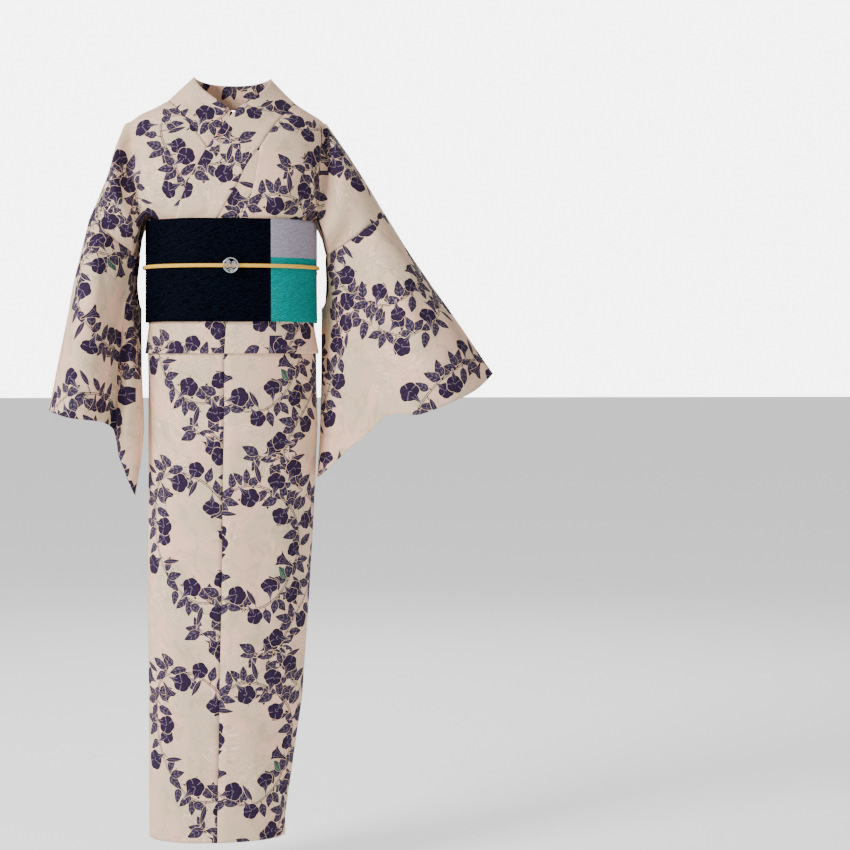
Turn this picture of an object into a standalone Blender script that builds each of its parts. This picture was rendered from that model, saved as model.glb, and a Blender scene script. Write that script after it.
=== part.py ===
"""Cotton yukata robe with its belt, hollow as it is worn, in metres with +Z up.

The wearer's left is +X and the front faces -Y. The origin is the middle of the neck's base, level with
the two points where the collar crosses the shoulders. Cloth pieces are thin walls: each is a grid of
points, lofted through a short table of fold lines above the belt and through oval rings below it, and
then given its thickness. The tables are in millimetres.
"""

import math

import bmesh
import bpy
import numpy as np

MM = 0.001

# Cloth and seams
WALL = 1.2 * MM            # cotton of the robe, seams and hems taken together
COLLAR_WALL = 2.4 * MM     # the collar is folded double
OBI_WALL = 1.2 * MM        # one turn of the belt
SEAM_GAP = 0.3 * MM        # between two pieces that are sewn together
LAYER_PITCH = 2.4 * MM     # between two layers of a fold
OVERLAP_LIFT = 8.0 * MM    # how far the left front stands off the figure where it covers the right

# Heights below the neck's base
BELT_TOP = -0.207
BELT_BOTTOM = -0.377
TUCK_BOTTOM = -0.428       # lower fold of the waist tuck
TUCK_TOP = -0.345          # upper fold of the waist tuck, under the belt
OKUMI_TUCK_TOP = -0.370    # the same on the two okumi, whose edges reach it lower down
HEM = -1.250

# The figure: one oval ring for each height. Seam_x is where the left okumi meets the left front.
RING_POWER = 2.3
RINGS = [
    # z, half_width, half_depth, centre_x, seam_x
    (-190, 129.0, 93.5, 0, 19),
    (-215, 129.0, 93.0, 0, 14),
    (-300, 129.0, 93.0, 0, 1),
    (-385, 129.5, 93.0, 0, -11),
    (-428, 136.5, 98.0, 1, -14),
    (-550, 138.0, 98.0, 2, -15),
    (-643, 136.0, 94.0, 0, -17),
    (-845, 131.0, 85.0, -7, -20),
    (-1013, 125.0, 79.0, -12, -24),
    (-1170, 113.0, 73.0, -24, -27),
    (-1215, 110.0, 71.0, -27, -28),
]
SIDE_SEAM = math.radians(92)
OUTER_EDGE = math.radians(-80)       # free edge of the left okumi, on the wearer's right
INNER_SEAM = math.radians(5)         # seam of the right okumi
INNER_EDGE = math.radians(68)        # free edge of the right okumi, under the left front
LIFT_FULL = (math.radians(-84), math.radians(72))
LIFT_RAMP = math.radians(16)

# Bodice fold lines, each from the shoulder fold to just above the belt.
# Columns: shoulder, collarbone, upper chest, chest, lower chest, blouse, belt edge.
LEFT_FRONT = {
    "neckline": [(104, 10, 0), (100, -30, -12), (72, -75, -47), (46, -100, -86), (39, -111, -128),
                 (32, -113, -164), (23, -110, -189)],
    "chest": [(126, 8, -14), (122, -35, -25), (108, -75, -60), (95, -98, -105), (87, -109, -142),
              (83, -108, -170), (81, -103, -190)],
    "beside crease": [(147, 4, -27), (147, -40, -50), (142, -66, -90), (136, -76, -128),
                      (132, -78, -157), (128, -77, -178), (122, -71, -193)],
    "arm crease": [(156, -3, -36), (154, -28, -62), (152, -40, -98), (149, -46, -135),
                   (146, -50, -166), (142, -51, -187), (136, -48, -195)],
    "arm ridge": [(165, -2, -43), (176, -45, -80), (180, -66, -125), (176, -74, -170),
                  (165, -74, -205), (153, -65, -223), (145, -42, -196)],
    "upper arm": [(212, 0, -111), (214, -45, -130), (208, -68, -162), (192, -74, -198),
                  (172, -68, -230), (159, -50, -240), (148, -28, -196)],
    "armhole": [(259, 0, -188), (251, -45, -198), (226, -70, -218), (192, -60, -243),
                (171, -44, -255), (160, -28, -256), (149, -12, -196)],
}
LEFT_BACK = {
    "neckline": [(104, 10, 0), (88, 65, 3), (48, 121, 4), (0, 133, 2), (0, 130, -60),
                 (0, 117, -130), (0, 103, -190)],
    "shoulder blade": [(126, 8, -14), (118, 60, -15), (90, 105, -25), (55, 122, -42), (45, 124, -90),
                       (42, 114, -142), (40, 102, -190)],
    "beside blade": [(147, 4, -27), (145, 52, -35), (130, 88, -55), (108, 104, -82), (90, 108, -120),
                     (82, 104, -157), (78, 95, -191)],
    "back crease": [(156, -3, -36), (160, 45, -50), (155, 75, -80), (142, 88, -115), (125, 92, -146),
                    (114, 88, -172), (106, 81, -192)],
    "arm back": [(165, -2, -43), (178, 45, -75), (180, 72, -115), (172, 82, -155), (157, 82, -186),
                 (143, 74, -200), (130, 63, -194)],
    "upper arm": [(212, 0, -111), (216, 42, -130), (208, 68, -165), (190, 80, -202), (170, 76, -230),
                  (157, 58, -232), (145, 38, -195)],
    "armhole": [(259, 0, -188), (253, 40, -199), (232, 66, -220), (203, 78, -245), (178, 72, -257),
                (162, 50, -256), (149, 16, -196)],
}
RIGHT_FRONT = {
    "neckline": [(-106, 10, 1), (-92, -40, -17), (-67, -68, -49), (-40, -83, -87), (-27, -91, -128),
                 (-12, -95, -164), (0, -96, -189)],
    "chest": [(-130, 7, -13), (-118, -35, -27), (-100, -68, -62), (-85, -82, -105), (-77, -91, -142),
              (-73, -92, -170), (-71, -90, -190)],
    "beside crease": [(-152, 3, -24), (-150, -38, -45), (-146, -60, -85), (-142, -70, -123),
                      (-137, -73, -153), (-131, -71, -176), (-124, -63, -193)],
    "arm crease": [(-170, -3, -38), (-168, -26, -65), (-167, -38, -102), (-163, -45, -140),
                   (-155, -48, -168), (-147, -48, -187), (-138, -44, -195)],
    "arm ridge": [(-184, -1, -50), (-192, -42, -85), (-194, -62, -125), (-188, -70, -170),
                  (-172, -68, -203), (-157, -56, -218), (-145, -38, -196)],
    "upper arm": [(-206, 0, -122), (-208, -42, -140), (-202, -64, -170), (-190, -68, -203),
                  (-173, -60, -230), (-161, -44, -240), (-149, -26, -196)],
    "armhole": [(-240, 0, -202), (-235, -42, -206), (-222, -66, -217), (-198, -64, -238),
                (-176, -50, -253), (-163, -32, -256), (-150, -12, -196)],
}
# Where a control line lies between the inner seam (0) and the side seam (1), below the belt's top.
LINE_SHARE = (0.0, 0.32, 0.53, 0.66, 0.77, 0.88, 1.0)

# Sleeve fold lines after the armhole. Columns: upper sleeve, lower sleeve, cuff.
LEFT_SLEEVE = {
    "top": [(311, -25, -274), (383, -65, -383), (435, -90, -464)],
    "front 1": [(298, -75, -283), (360, -110, -395), (403, -125, -490)],
    "front 2": [(268, -105, -302), (320, -140, -415), (362, -152, -509)],
    "front 3": [(238, -92, -325), (280, -122, -432), (307, -155, -530)],
    "front 4": [(212, -76, -345), (250, -103, -445), (281, -140, -529)],
    "front 5": [(190, -60, -358), (222, -84, -452), (254, -122, -533)],
    "open edge front": [(174, -46, -400), (195, -70, -495), (227, -106, -559)],
    "under front": [(160, -32, -430), (171, -53, -535), (198, -86, -585)],
    "corner": [(151, -6, -445), (148, -26, -550), (143, -50, -638)],
    "under back": [(163, 26, -435), (172, 8, -535), (162, -36, -608)],
    "open edge back": [(180, 62, -402), (205, 38, -502), (207, -82, -572)],
    "back 5": [(196, 76, -375), (235, 46, -486), (250, -102, -531)],
    "back 4": [(228, 72, -355), (272, 36, -460), (294, -62, -524)],
    "back 3": [(262, 52, -332), (312, 14, -438), (338, -38, -510)],
    "back 2": [(295, 28, -303), (352, -8, -408), (386, -50, -494)],
    "back 1": [(315, 5, -284), (378, -38, -390), (424, -70, -475)],
}
LEFT_OPEN_EDGE = [(163, -16, -318), (157, 0, -345), (153, 18, -350), (159, 36, -343), (162, 48, -308)]
RIGHT_SLEEVE = {
    "top": [(-265, -10, -310), (-287, -20, -420), (-306, -30, -524)],
    "front 1": [(-257, -62, -315), (-277, -76, -425), (-292, -84, -529)],
    "front 2": [(-237, -95, -325), (-252, -110, -433), (-264, -114, -536)],
    "front 3": [(-214, -98, -340), (-226, -110, -443), (-232, -108, -540)],
    "front 4": [(-199, -76, -355), (-209, -82, -455), (-212, -76, -545)],
    "front 5": [(-187, -44, -372), (-196, -50, -480), (-197, -48, -560)],
    "open edge front": [(-180, -50, -402), (-187, -60, -500), (-189, -63, -600)],
    "under front": [(-167, -56, -428), (-171, -70, -530), (-180, -68, -624)],
    "corner": [(-153, -30, -450), (-149, -48, -565), (-163, -60, -667)],
    "under back": [(-161, 14, -440), (-164, -2, -550), (-176, -50, -640)],
    "open edge back": [(-176, 50, -395), (-184, 34, -500), (-189, -34, -602)],
    "back 5": [(-184, 66, -375), (-196, 48, -480), (-204, -6, -550)],
    "back 4": [(-202, 78, -365), (-216, 62, -465), (-222, 18, -541)],
    "back 3": [(-226, 82, -345), (-246, 72, -450), (-256, 48, -538)],
    "back 2": [(-248, 68, -325), (-270, 58, -433), (-284, 42, -532)],
    "back 1": [(-260, 40, -314), (-284, 32, -422), (-301, 18, -527)],
}
RIGHT_OPEN_EDGE = [(-166, -20, -318), (-160, -6, -345), (-155, 12, -352), (-159, 34, -343), (-163, 48, -308)]

# Collar from the nape down: its seam beyond the bodice's neckline points, and its free edge.
LEFT_COLLAR_SEAM_LOW = [(23, -111, -120), (8, -114, -151), (-9, -110, -178), (-22, -104.5, -202)]
RIGHT_COLLAR_SEAM_LOW = [(-12, -90, -122), (14, -94, -155), (36, -94.5, -184), (50, -92.5, -204)]
LEFT_COLLAR_EDGE = [(0, 128, 45), (35, 115, 45), (58, 60, 43), (65, 10, 39), (50, -35, 12),
                    (3, -68, -28), (-42, -94, -91), (-58, -99, -120), (-74, -101, -150),
                    (-86, -95, -180), (-92, -87, -202)]
RIGHT_COLLAR_EDGE = [(0, 128, 45), (-35, 115, 45), (-57, 60, 43), (-63, 10, 41), (-49, -35, 15),
                     (1, -59, -27), (33, -71, -70), (52, -77, -98), (72, -80, -128),
                     (86, -82, -160), (96, -78, -200)]
# Under the belt the collar follows the ring: z, then x of its seam and of its free edge.
LEFT_COLLAR_UNDER_BELT = [(-222, -35, -100), (-260, -60, -122)]
RIGHT_COLLAR_UNDER_BELT = [(-222, 60, 104), (-260, 82, 118)]

# Belt, its knot, its cord and its clasp
OBI_TURNS = 2
OBI_INNER = 7.4 * MM        # first turn's middle, out from the ring
OBI_PITCH = 1.6 * MM
OBI_STEPS_PER_TURN = 45
KNOT_HALF_WIDTH = 0.138
KNOT_Y = 0.1125
KNOT_PITCH = 3.2 * MM
KNOT_WALL = 1.8 * MM
KNOT_FLARE = 0.012          # how far the knot's ends stand back from its middle
KNOT_BAND_HALF = 0.042
CORD_RADIUS = 2.6 * MM
CORD_Z = -0.285
CLASP_RADIUS = 0.013
CLASP_THICKNESS = 2.6 * MM
CLASP_X = -0.003

COLOURS = {
    "cotton": (0.68, 0.60, 0.54, 1.0),
    "obi": (0.004, 0.010, 0.028, 1.0),
    "cord": (0.70, 0.45, 0.12, 1.0),
    "silver": (0.60, 0.60, 0.62, 1.0),
}


# ---------------------------------------------------------------- curves and rings

def spline(points, t):
    """Point at parameter t on a smooth curve through every one of the points."""
    last = len(points) - 1
    i = min(int(math.floor(t)), last - 1)
    u = t - i
    p1, p2 = points[i], points[i + 1]
    p0 = points[i - 1] if i > 0 else 2 * p1 - p2
    p3 = points[i + 2] if i + 2 <= last else 2 * p2 - p1
    return 0.5 * (2 * p1 + (p2 - p0) * u + (2 * p0 - 5 * p1 + 4 * p2 - p3) * u ** 2
                  + (3 * p1 - p0 - 3 * p2 + p3) * u ** 3)


def loop_spline(points, t):
    """Point at parameter t on a smooth closed curve through the points."""
    count = len(points)
    wrapped = [points[(int(math.floor(t)) + k) % count] for k in (-1, 0, 1, 2)]
    return spline(wrapped, 1 + t - math.floor(t))


def table(rows):
    """A table in millimetres as an array in metres."""
    return np.array(rows, dtype=float) * MM


def ring_sizes(z):
    """Half width, half depth, centre x and okumi seam x of the figure's ring at height z."""
    rows = table(RINGS)[::-1]
    return [float(np.interp(z, rows[:, 0], rows[:, k])) for k in range(1, 5)]


def lift(phi):
    """How far the left front stands off at this angle, rising smoothly onto the right front."""
    outside = max(LIFT_FULL[0] - phi, phi - LIFT_FULL[1], 0.0)
    share = max(0.0, 1.0 - outside / LIFT_RAMP)
    return OVERLAP_LIFT * share * share * (3 - 2 * share)


def ring_point(phi, z, out):
    """Point on the oval at height z and angle phi, out from it. 0 is the front, +90 degrees is +X."""
    half_width, half_depth, centre, _ = ring_sizes(z)
    s, c = math.sin(phi), math.cos(phi)
    x = centre + (half_width + out) * math.copysign(abs(s) ** (2 / RING_POWER), s)
    y = -(half_depth + out) * math.copysign(abs(c) ** (2 / RING_POWER), c)
    return np.array((x, y, z))


def ring_angle(x, z, out):
    """The front angle at which the oval passes x."""
    half_width, _, centre, _ = ring_sizes(z)
    s = max(-1.0, min(1.0, (x - centre) / (half_width + out)))
    return math.asin(math.copysign(abs(s) ** (RING_POWER / 2), s))


def belt_angle(phi):
    """The same angle brought between -180 and 180 degrees."""
    return (phi + math.pi) % (2 * math.pi) - math.pi


# ---------------------------------------------------------------- waist tuck and skirt

def half_turn(z, out, way):
    """Three points round a fold, from the layer at out to the next one inside it."""
    radius = LAYER_PITCH / 2
    return [(z + way * radius * math.sin(a), out - radius + radius * math.cos(a))
            for a in (0, math.pi / 2, math.pi)]


def skirt_profile(under_belt, tuck_top):
    """Height and stand-off of each row below the belt's top: down, back up in the tuck, down to the hem."""
    outer, middle = 2 * LAYER_PITCH, LAYER_PITCH
    rows = [(z, outer) for z in under_belt]
    rows += half_turn(TUCK_BOTTOM, outer, -1)
    rows += [(-0.385, middle)]
    rows += half_turn(tuck_top, middle, 1)
    rows += [(z, 0.0) for z in (-0.385, -0.435, -0.52, -0.60, -0.685, -0.82, -0.96, -1.10, HEM)]
    return rows


SKIRT_ROWS = 9              # of the profile's rows, those from the tuck's inner side down to the hem
HIP_ROWS = 5                # and of those, the ones down to where the hip and leg nodes meet


BODY_UNDER_BELT = (-0.2035, -0.215, -0.30, -0.385)
OKUMI_UNDER_BELT = (-0.2035, -0.215, -0.245, -0.275, -0.305, -0.335, -0.36, -0.385)
COLLAR_EDGE_ROWS = 6        # of the rows under the belt, those where the okumi's edge follows the collar


# ---------------------------------------------------------------- meshes

def material(name, key, roughness, metallic=0.0):
    mat = bpy.data.materials.new(name)
    mat.use_nodes = True
    shader = mat.node_tree.nodes["Principled BSDF"]
    shader.inputs["Base Color"].default_value = COLOURS[key]
    shader.inputs["Roughness"].default_value = roughness
    shader.inputs["Metallic"].default_value = metallic
    return mat


def loft_object(name, grid, wall, mat, collection, closed=False):
    """A thin wall on a grid of points. With closed, each row is a loop."""
    rows, cols = len(grid), len(grid[0])
    bm = bmesh.new()
    verts = [[bm.verts.new(point) for point in row] for row in grid]
    for r in range(rows - 1):
        for c in range(cols if closed else cols - 1):
            d = (c + 1) % cols
            bm.faces.new((verts[r][c], verts[r][d], verts[r + 1][d], verts[r + 1][c]))
    bmesh.ops.triangulate(bm, faces=bm.faces, quad_method="SHORT_EDGE")
    mesh = bpy.data.meshes.new(name)
    bm.to_mesh(mesh)
    bm.free()
    mesh.materials.append(mat)
    mesh.shade_smooth()
    piece = bpy.data.objects.new(name, mesh)
    collection.objects.link(piece)
    solidify = piece.modifiers.new("wall", "SOLIDIFY")
    solidify.thickness = wall
    solidify.offset = 0.0
    solidify.use_even_offset = False
    return piece


def pull_in(row, end, amount):
    """Move the row's end point (0 or -1) towards its neighbour, which leaves half of a seam's gap."""
    way = row[1 if end == 0 else -2] - row[end]
    row[end] = row[end] + way * (amount / np.linalg.norm(way))


def seam_room(way, other_way, other_wall):
    """Half a seam's gap, and more where the two walls leave the seam at an angle."""
    turn = np.linalg.norm(np.cross(way, other_way)) / (np.linalg.norm(way) * np.linalg.norm(other_way))
    return SEAM_GAP / 2 + turn * (other_wall / 2 + SEAM_GAP)


# ---------------------------------------------------------------- the robe's pieces

ROW_STEPS = (0, 0.65, 1.3, 2, 2.7, 3.35, 4, 4.5, 5, 5.5, 6)
COLUMN_STEPS = (0, 0.45, 0.9, 1.4, 2.0, 2.5, 3.0, 3.5, 4.1, 4.8, 5.4, 6)
OKUMI_STEPS = np.linspace(0, 1, 8)
ARMHOLE_END = 5             # the bodice row where the sleeve's seam ends


def bodice_net(lines, neck):
    """Rows from the shoulder to the belt, through fold lines. The first line is the neck's curve as far
    as the collar goes, and below that a curve of its own."""
    rows = []
    for t in ROW_STEPS:
        controls = [spline(line, t) for line in lines]
        controls[0] = neck(t) if t <= NAPE_POINTS else spline(lines[0][NAPE_POINTS:], t - NAPE_POINTS)
        rows.append([spline(controls, u) for u in COLUMN_STEPS])
    return rows


def skirt_net(inner, side, over):
    """Rows below the belt's top between an inner seam angle and the side seam."""
    shares = [spline(np.array(LINE_SHARE), u) for u in COLUMN_STEPS]
    rows = []
    for z, out in skirt_profile(BODY_UNDER_BELT, TUCK_TOP):
        start = inner(z, out) if callable(inner) else inner
        angles = [start + share * (side - start) for share in shares]
        rows.append([ring_point(a, z, out + (lift(a) if over else 0.0)) for a in angles])
    return rows


def left_seam(z, out):
    """Angle of the seam between the left front and the left okumi."""
    return ring_angle(ring_sizes(z)[3], z, out + OVERLAP_LIFT)


def right_back(front_lines):
    """The left back mirrored, and drawn in to the right shoulder line."""
    left = [table(line) for line in LEFT_BACK.values()]
    mirror = np.array((-1, 1, 1))
    fade = np.linspace(1, 0, len(left[0]))[:, None]
    return [line * mirror + fade * (front[0] - line[0] * mirror)
            for line, front in zip(left, front_lines)]


def collar_seam(side):
    """The whole line that joins the collar to the robe, from the nape down to the belt."""
    front, low = {"left": (LEFT_FRONT, LEFT_COLLAR_SEAM_LOW),
                  "right": (RIGHT_FRONT, RIGHT_COLLAR_SEAM_LOW)}[side]
    neck = table(front["neckline"])
    back = table(LEFT_BACK["neckline"])[3:0:-1]
    if side == "right":
        back = np.array(right_back([neck])[0])[3:0:-1]
    return np.concatenate([back, neck[:4], table(low)])


NAPE_POINTS = 3             # points of the collar seam behind the shoulder
COLLAR_ROWS = 43


def collar_half(side):
    """Seam line and free edge of half the collar, from the nape down to its end under the belt."""
    over = side == "left"
    edge = table(LEFT_COLLAR_EDGE if over else RIGHT_COLLAR_EDGE)
    under = LEFT_COLLAR_UNDER_BELT if over else RIGHT_COLLAR_UNDER_BELT
    stand = 2 * LAYER_PITCH + (OVERLAP_LIFT if over else 0.0)
    seams, edges = list(collar_seam(side)), list(edge)
    for z, seam_x, edge_x in table(under):
        seams.append(ring_point(ring_angle(seam_x, z, stand), z, stand))
        edges.append(ring_point(ring_angle(edge_x, z, stand), z, stand))
    return seams, edges


def collar_way(side, t):
    """Direction in which the collar leaves its seam, t points down from the nape."""
    seams, edges = collar_half(side)
    return spline(edges, t) - spline(seams, t)


def sleeve_lines(side):
    """The fold lines of a sleeve, each from the armhole or the open edge to the cuff."""
    left = side == "left"
    front = table((LEFT_FRONT if left else RIGHT_FRONT)["armhole"])
    back = table(LEFT_BACK["armhole"])
    if not left:
        back = right_back([table(line) for line in RIGHT_FRONT.values()])[-1]
    hanging = table(LEFT_OPEN_EDGE if left else RIGHT_OPEN_EDGE)
    armhole = [*front[:ARMHOLE_END + 1], *hanging, *back[ARMHOLE_END:0:-1]]
    folds = (LEFT_SLEEVE if left else RIGHT_SLEEVE).values()
    return front, back, [np.concatenate([[start], table(line)]) for start, line in zip(armhole, folds)]


def sleeve_way(side, t, behind):
    """Direction in which the sleeve leaves the armhole, t rows from the shoulder."""
    _, _, lines = sleeve_lines(side)
    u = len(lines) - t if behind and t > 0 else t
    near = [loop_spline([spline(line, v) for line in lines], u) for v in (0, 0.35)]
    return near[1] - near[0]


def body_piece(side):
    """One body panel, from the front tuck over the shoulder to the back tuck, without a shoulder seam,
    and its hip and leg parts at the front and back, which go on down from behind the tuck."""
    over = side == "left"
    front = [table(line) for line in (LEFT_FRONT if over else RIGHT_FRONT).values()]
    back = [table(line) for line in LEFT_BACK.values()] if over else right_back(front)
    seam = collar_seam(side)
    front_rows = bodice_net(front, lambda t: spline(seam, NAPE_POINTS + t))
    back_rows = bodice_net(back, lambda t: spline(seam, NAPE_POINTS - t))
    for rows, behind in ((front_rows, False), (back_rows, True)):
        for t, row in zip(ROW_STEPS, rows):
            room = neck_room = SEAM_GAP / 2
            if t <= NAPE_POINTS:
                along = NAPE_POINTS - t if behind else NAPE_POINTS + t
                neck_room = seam_room(row[1] - row[0], collar_way(side, along), COLLAR_WALL)
            if t <= ARMHOLE_END:
                room = seam_room(row[-2] - row[-1], sleeve_way(side, t, behind), WALL)
            pull_in(row, 0, neck_room)
            pull_in(row, -1, room)
    way = 1 if over else -1
    skirt_front = skirt_net(left_seam if over else INNER_SEAM, way * SIDE_SEAM, over)
    skirt_back = skirt_net(way * math.pi, way * SIDE_SEAM, False)
    for row in skirt_front + skirt_back:
        pull_in(row, 0, SEAM_GAP / 2)
        pull_in(row, -1, SEAM_GAP / 2)
    front, back = parts_below_tuck(skirt_front), parts_below_tuck(skirt_back)
    return skirt_front[::-1] + front_rows[::-1] + back_rows[1:] + skirt_back, front, back


def parts_below_tuck(rows):
    """Take the hip and leg rows off a panel's skirt, and leave a seam's gap between each two."""
    hip = cut_off(rows, len(rows) - SKIRT_ROWS)
    return hip, cut_off(hip, HIP_ROWS - 1)


def cut_off(rows, where):
    """Take the rows from one on off a grid, which keeps that row as its last one, and part the two."""
    lower = [list(row) for row in rows[where:]]
    del rows[where + 1:]
    rows[-1] = list(rows[-1])
    for c, point in enumerate(lower[0]):
        way = lower[1][c] - point
        way = way * (SEAM_GAP / 2 / np.linalg.norm(way))
        lower[0][c] = point + way
        rows[-1][c] = point - way
    return lower


def okumi_piece(side):
    """The narrow front panel between the collar and the body, from its point down to the hem."""
    over = side == "left"
    seam = collar_seam(side)
    inner = table((LEFT_FRONT if over else RIGHT_FRONT)["neckline"])
    free = OUTER_EDGE if over else INNER_EDGE
    stand = OVERLAP_LIFT if over else 0.0
    rows = []
    for t in ROW_STEPS[5:]:
        along = NAPE_POINTS + 3 + (t - 3) * 4 / 3
        edge = spline(seam, along)
        fold = spline(inner[NAPE_POINTS:], t - NAPE_POINTS)
        row = [edge + (fold - edge) * u for u in OKUMI_STEPS]
        pull_in(row, 0, seam_room(fold - edge, collar_way(side, along), COLLAR_WALL))
        rows.append(row)
    low, _ = collar_half(side)
    slope = (low[-1][0] - seam[-1][0]) / (low[-1][2] - seam[-1][2])
    for k, (z, out) in enumerate(skirt_profile(OKUMI_UNDER_BELT, OKUMI_TUCK_TOP)):
        start = free
        if k < COLLAR_EDGE_ROWS:
            x = seam[-1][0] + slope * (z - seam[-1][2])
            start = ring_angle(x, z, out + stand)
            start = max(free, start) if over else min(free, start)
        end = left_seam(z, out) if over else INNER_SEAM
        row = [ring_point(start + u * (end - start), z, out + stand) for u in OKUMI_STEPS]
        pull_in(row, 0, 1.5 * MM if k < COLLAR_EDGE_ROWS else 0.0)
        rows.append(row)
    for row in rows:
        pull_in(row, -1, SEAM_GAP / 2)
    return rows


def collar_piece():
    """The collar in one strip: left end, nape, right end. Each row runs from its seam to its free edge."""
    left_seams, left_edges = collar_half("left")
    right_seams, right_edges = collar_half("right")
    seams = left_seams[:0:-1] + right_seams
    edges = left_edges[:0:-1] + right_edges
    rows = []
    for t in np.linspace(0, len(seams) - 1, COLLAR_ROWS):
        seam, edge = spline(seams, t), spline(edges, t)
        row = [seam + (edge - seam) * u for u in (0, 0.5, 1)]
        pull_in(row, 0, SEAM_GAP / 2)
        rows.append(row)
    return rows


def sleeve_piece(side):
    """A sleeve as loops from the armhole to the cuff; below the armhole its inner edge hangs open."""
    front, back, lines = sleeve_lines(side)
    count = len(lines)
    seam_steps = [t for t in ROW_STEPS if t <= ARMHOLE_END]
    hanging = list(np.arange(ARMHOLE_END + 0.5, count - ARMHOLE_END, 0.5))
    around = seam_steps + hanging + [count - t for t in seam_steps[:0:-1]]
    rows = [[loop_spline([spline(line, t) for line in lines], u) for u in around]
            for t in (0, 0.35, 0.8, 1.25, 1.7, 2.15, 2.6, 3)]
    first = len(seam_steps)
    for c, u in enumerate(around):
        if c < first:
            rows[0][c] = spline(front, u)
        elif c >= first + len(hanging):
            rows[0][c] = spline(back, count - u)
        way = rows[1][c] - rows[0][c]
        rows[0][c] = rows[0][c] + way * (1.2 * MM / np.linalg.norm(way))
    return rows


# ---------------------------------------------------------------- belt

def obi_piece():
    """The belt's turns round the waist, as a spiral that starts and ends behind the knot."""
    rows = []
    for z in (BELT_TOP, BELT_BOTTOM):
        row = []
        for k in range(OBI_TURNS * OBI_STEPS_PER_TURN + 1):
            turn = k / OBI_STEPS_PER_TURN
            phi = belt_angle(math.pi + 2 * math.pi * turn)
            row.append(ring_point(phi, z, OBI_INNER + OBI_PITCH * turn + lift(phi)))
        rows.append(row)
    return rows


def knot_layer_y(x, layer):
    """Depth of a layer of the flat knot at x."""
    return KNOT_Y + layer * KNOT_PITCH + KNOT_FLARE * (x / KNOT_HALF_WIDTH) ** 2


def knot_piece():
    """The flat back knot: the belt's end folded twice into a rectangle, as wide as the belt is high."""
    w = KNOT_HALF_WIDTH
    path = [(x, knot_layer_y(x, 0)) for x in np.linspace(-0.06, w, 6)]
    path += [(w + 0.0016, knot_layer_y(w, 0.5))]
    path += [(x, knot_layer_y(x, 1)) for x in np.linspace(w, -w, 9)]
    path += [(-w - 0.0016, knot_layer_y(w, 1.5))]
    path += [(x, knot_layer_y(x, 2)) for x in np.linspace(-w, 0.05, 6)]
    return [[np.array((x, y, z)) for x, y in path] for z in (BELT_TOP + 0.004, -0.292, BELT_BOTTOM - 0.004)]


def knot_band_piece():
    """The belt's other end, folded in half and passed down over the knot."""
    inside, outside = KNOT_Y - KNOT_PITCH, knot_layer_y(KNOT_BAND_HALF, 3)
    top, bottom = BELT_TOP + 0.008, BELT_BOTTOM - 0.008
    path = [(inside, top - 0.03), (inside, top - 0.002), (inside + 0.003, top), (outside - 0.003, top),
            (outside, top - 0.004), (outside + 0.001, -0.292), (outside, bottom + 0.004),
            (outside - 0.003, bottom), (inside + 0.003, bottom), (inside, bottom + 0.002),
            (inside, bottom + 0.03)]
    return [[np.array((x, y, z)) for x in np.linspace(-KNOT_BAND_HALF, KNOT_BAND_HALF, 3)] for y, z in path]


def cord_route():
    """The cord's closed way round the belt and over the knot."""
    stand = OBI_INNER + OBI_PITCH * OBI_TURNS + OBI_WALL / 2 + CORD_RADIUS + SEAM_GAP
    points = []
    for degrees in range(-116, 117, 8):
        phi = math.radians(degrees)
        points.append(ring_point(phi, CORD_Z, stand + lift(phi)))
    w = KNOT_HALF_WIDTH
    behind = [(w + 0.010, knot_layer_y(w, 0)), (w + 0.008, knot_layer_y(w, 2)),
              (w - 0.006, knot_layer_y(w, 3) + 0.004), (w - 0.05, knot_layer_y(w - 0.05, 3) + 0.004),
              (KNOT_BAND_HALF + 0.004, knot_layer_y(KNOT_BAND_HALF, 4) + 0.004),
              (0.0, knot_layer_y(KNOT_BAND_HALF, 4) + 0.004)]
    points += [np.array((x, y, CORD_Z)) for x, y in behind]
    points += [np.array((-x, y, CORD_Z)) for x, y in behind[-2::-1]]
    return points


def tube(name, points, radius, mat, collection, cyclic=False):
    """A round cord along the points."""
    curve = bpy.data.curves.new(name, "CURVE")
    curve.dimensions = "3D"
    curve.bevel_depth = radius
    curve.bevel_resolution = 2
    curve.use_fill_caps = True
    line = curve.splines.new("POLY")
    line.points.add(len(points) - 1)
    for point, place in zip(line.points, points):
        point.co = (*place, 1.0)
    line.use_cyclic_u = cyclic
    piece = bpy.data.objects.new(name, curve)
    piece.data.materials.append(mat)
    collection.objects.link(piece)
    return piece


def clasp_front_y():
    """Depth of the clasp's middle: clear of the cord at the front of the belt."""
    stand = OBI_INNER + OBI_PITCH * OBI_TURNS + OBI_WALL / 2 + 2 * CORD_RADIUS + 2 * SEAM_GAP
    front = ring_point(0.0, CORD_Z, stand + OVERLAP_LIFT)
    return front[1] - CLASP_THICKNESS / 2 - 1.2 * MM


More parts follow.
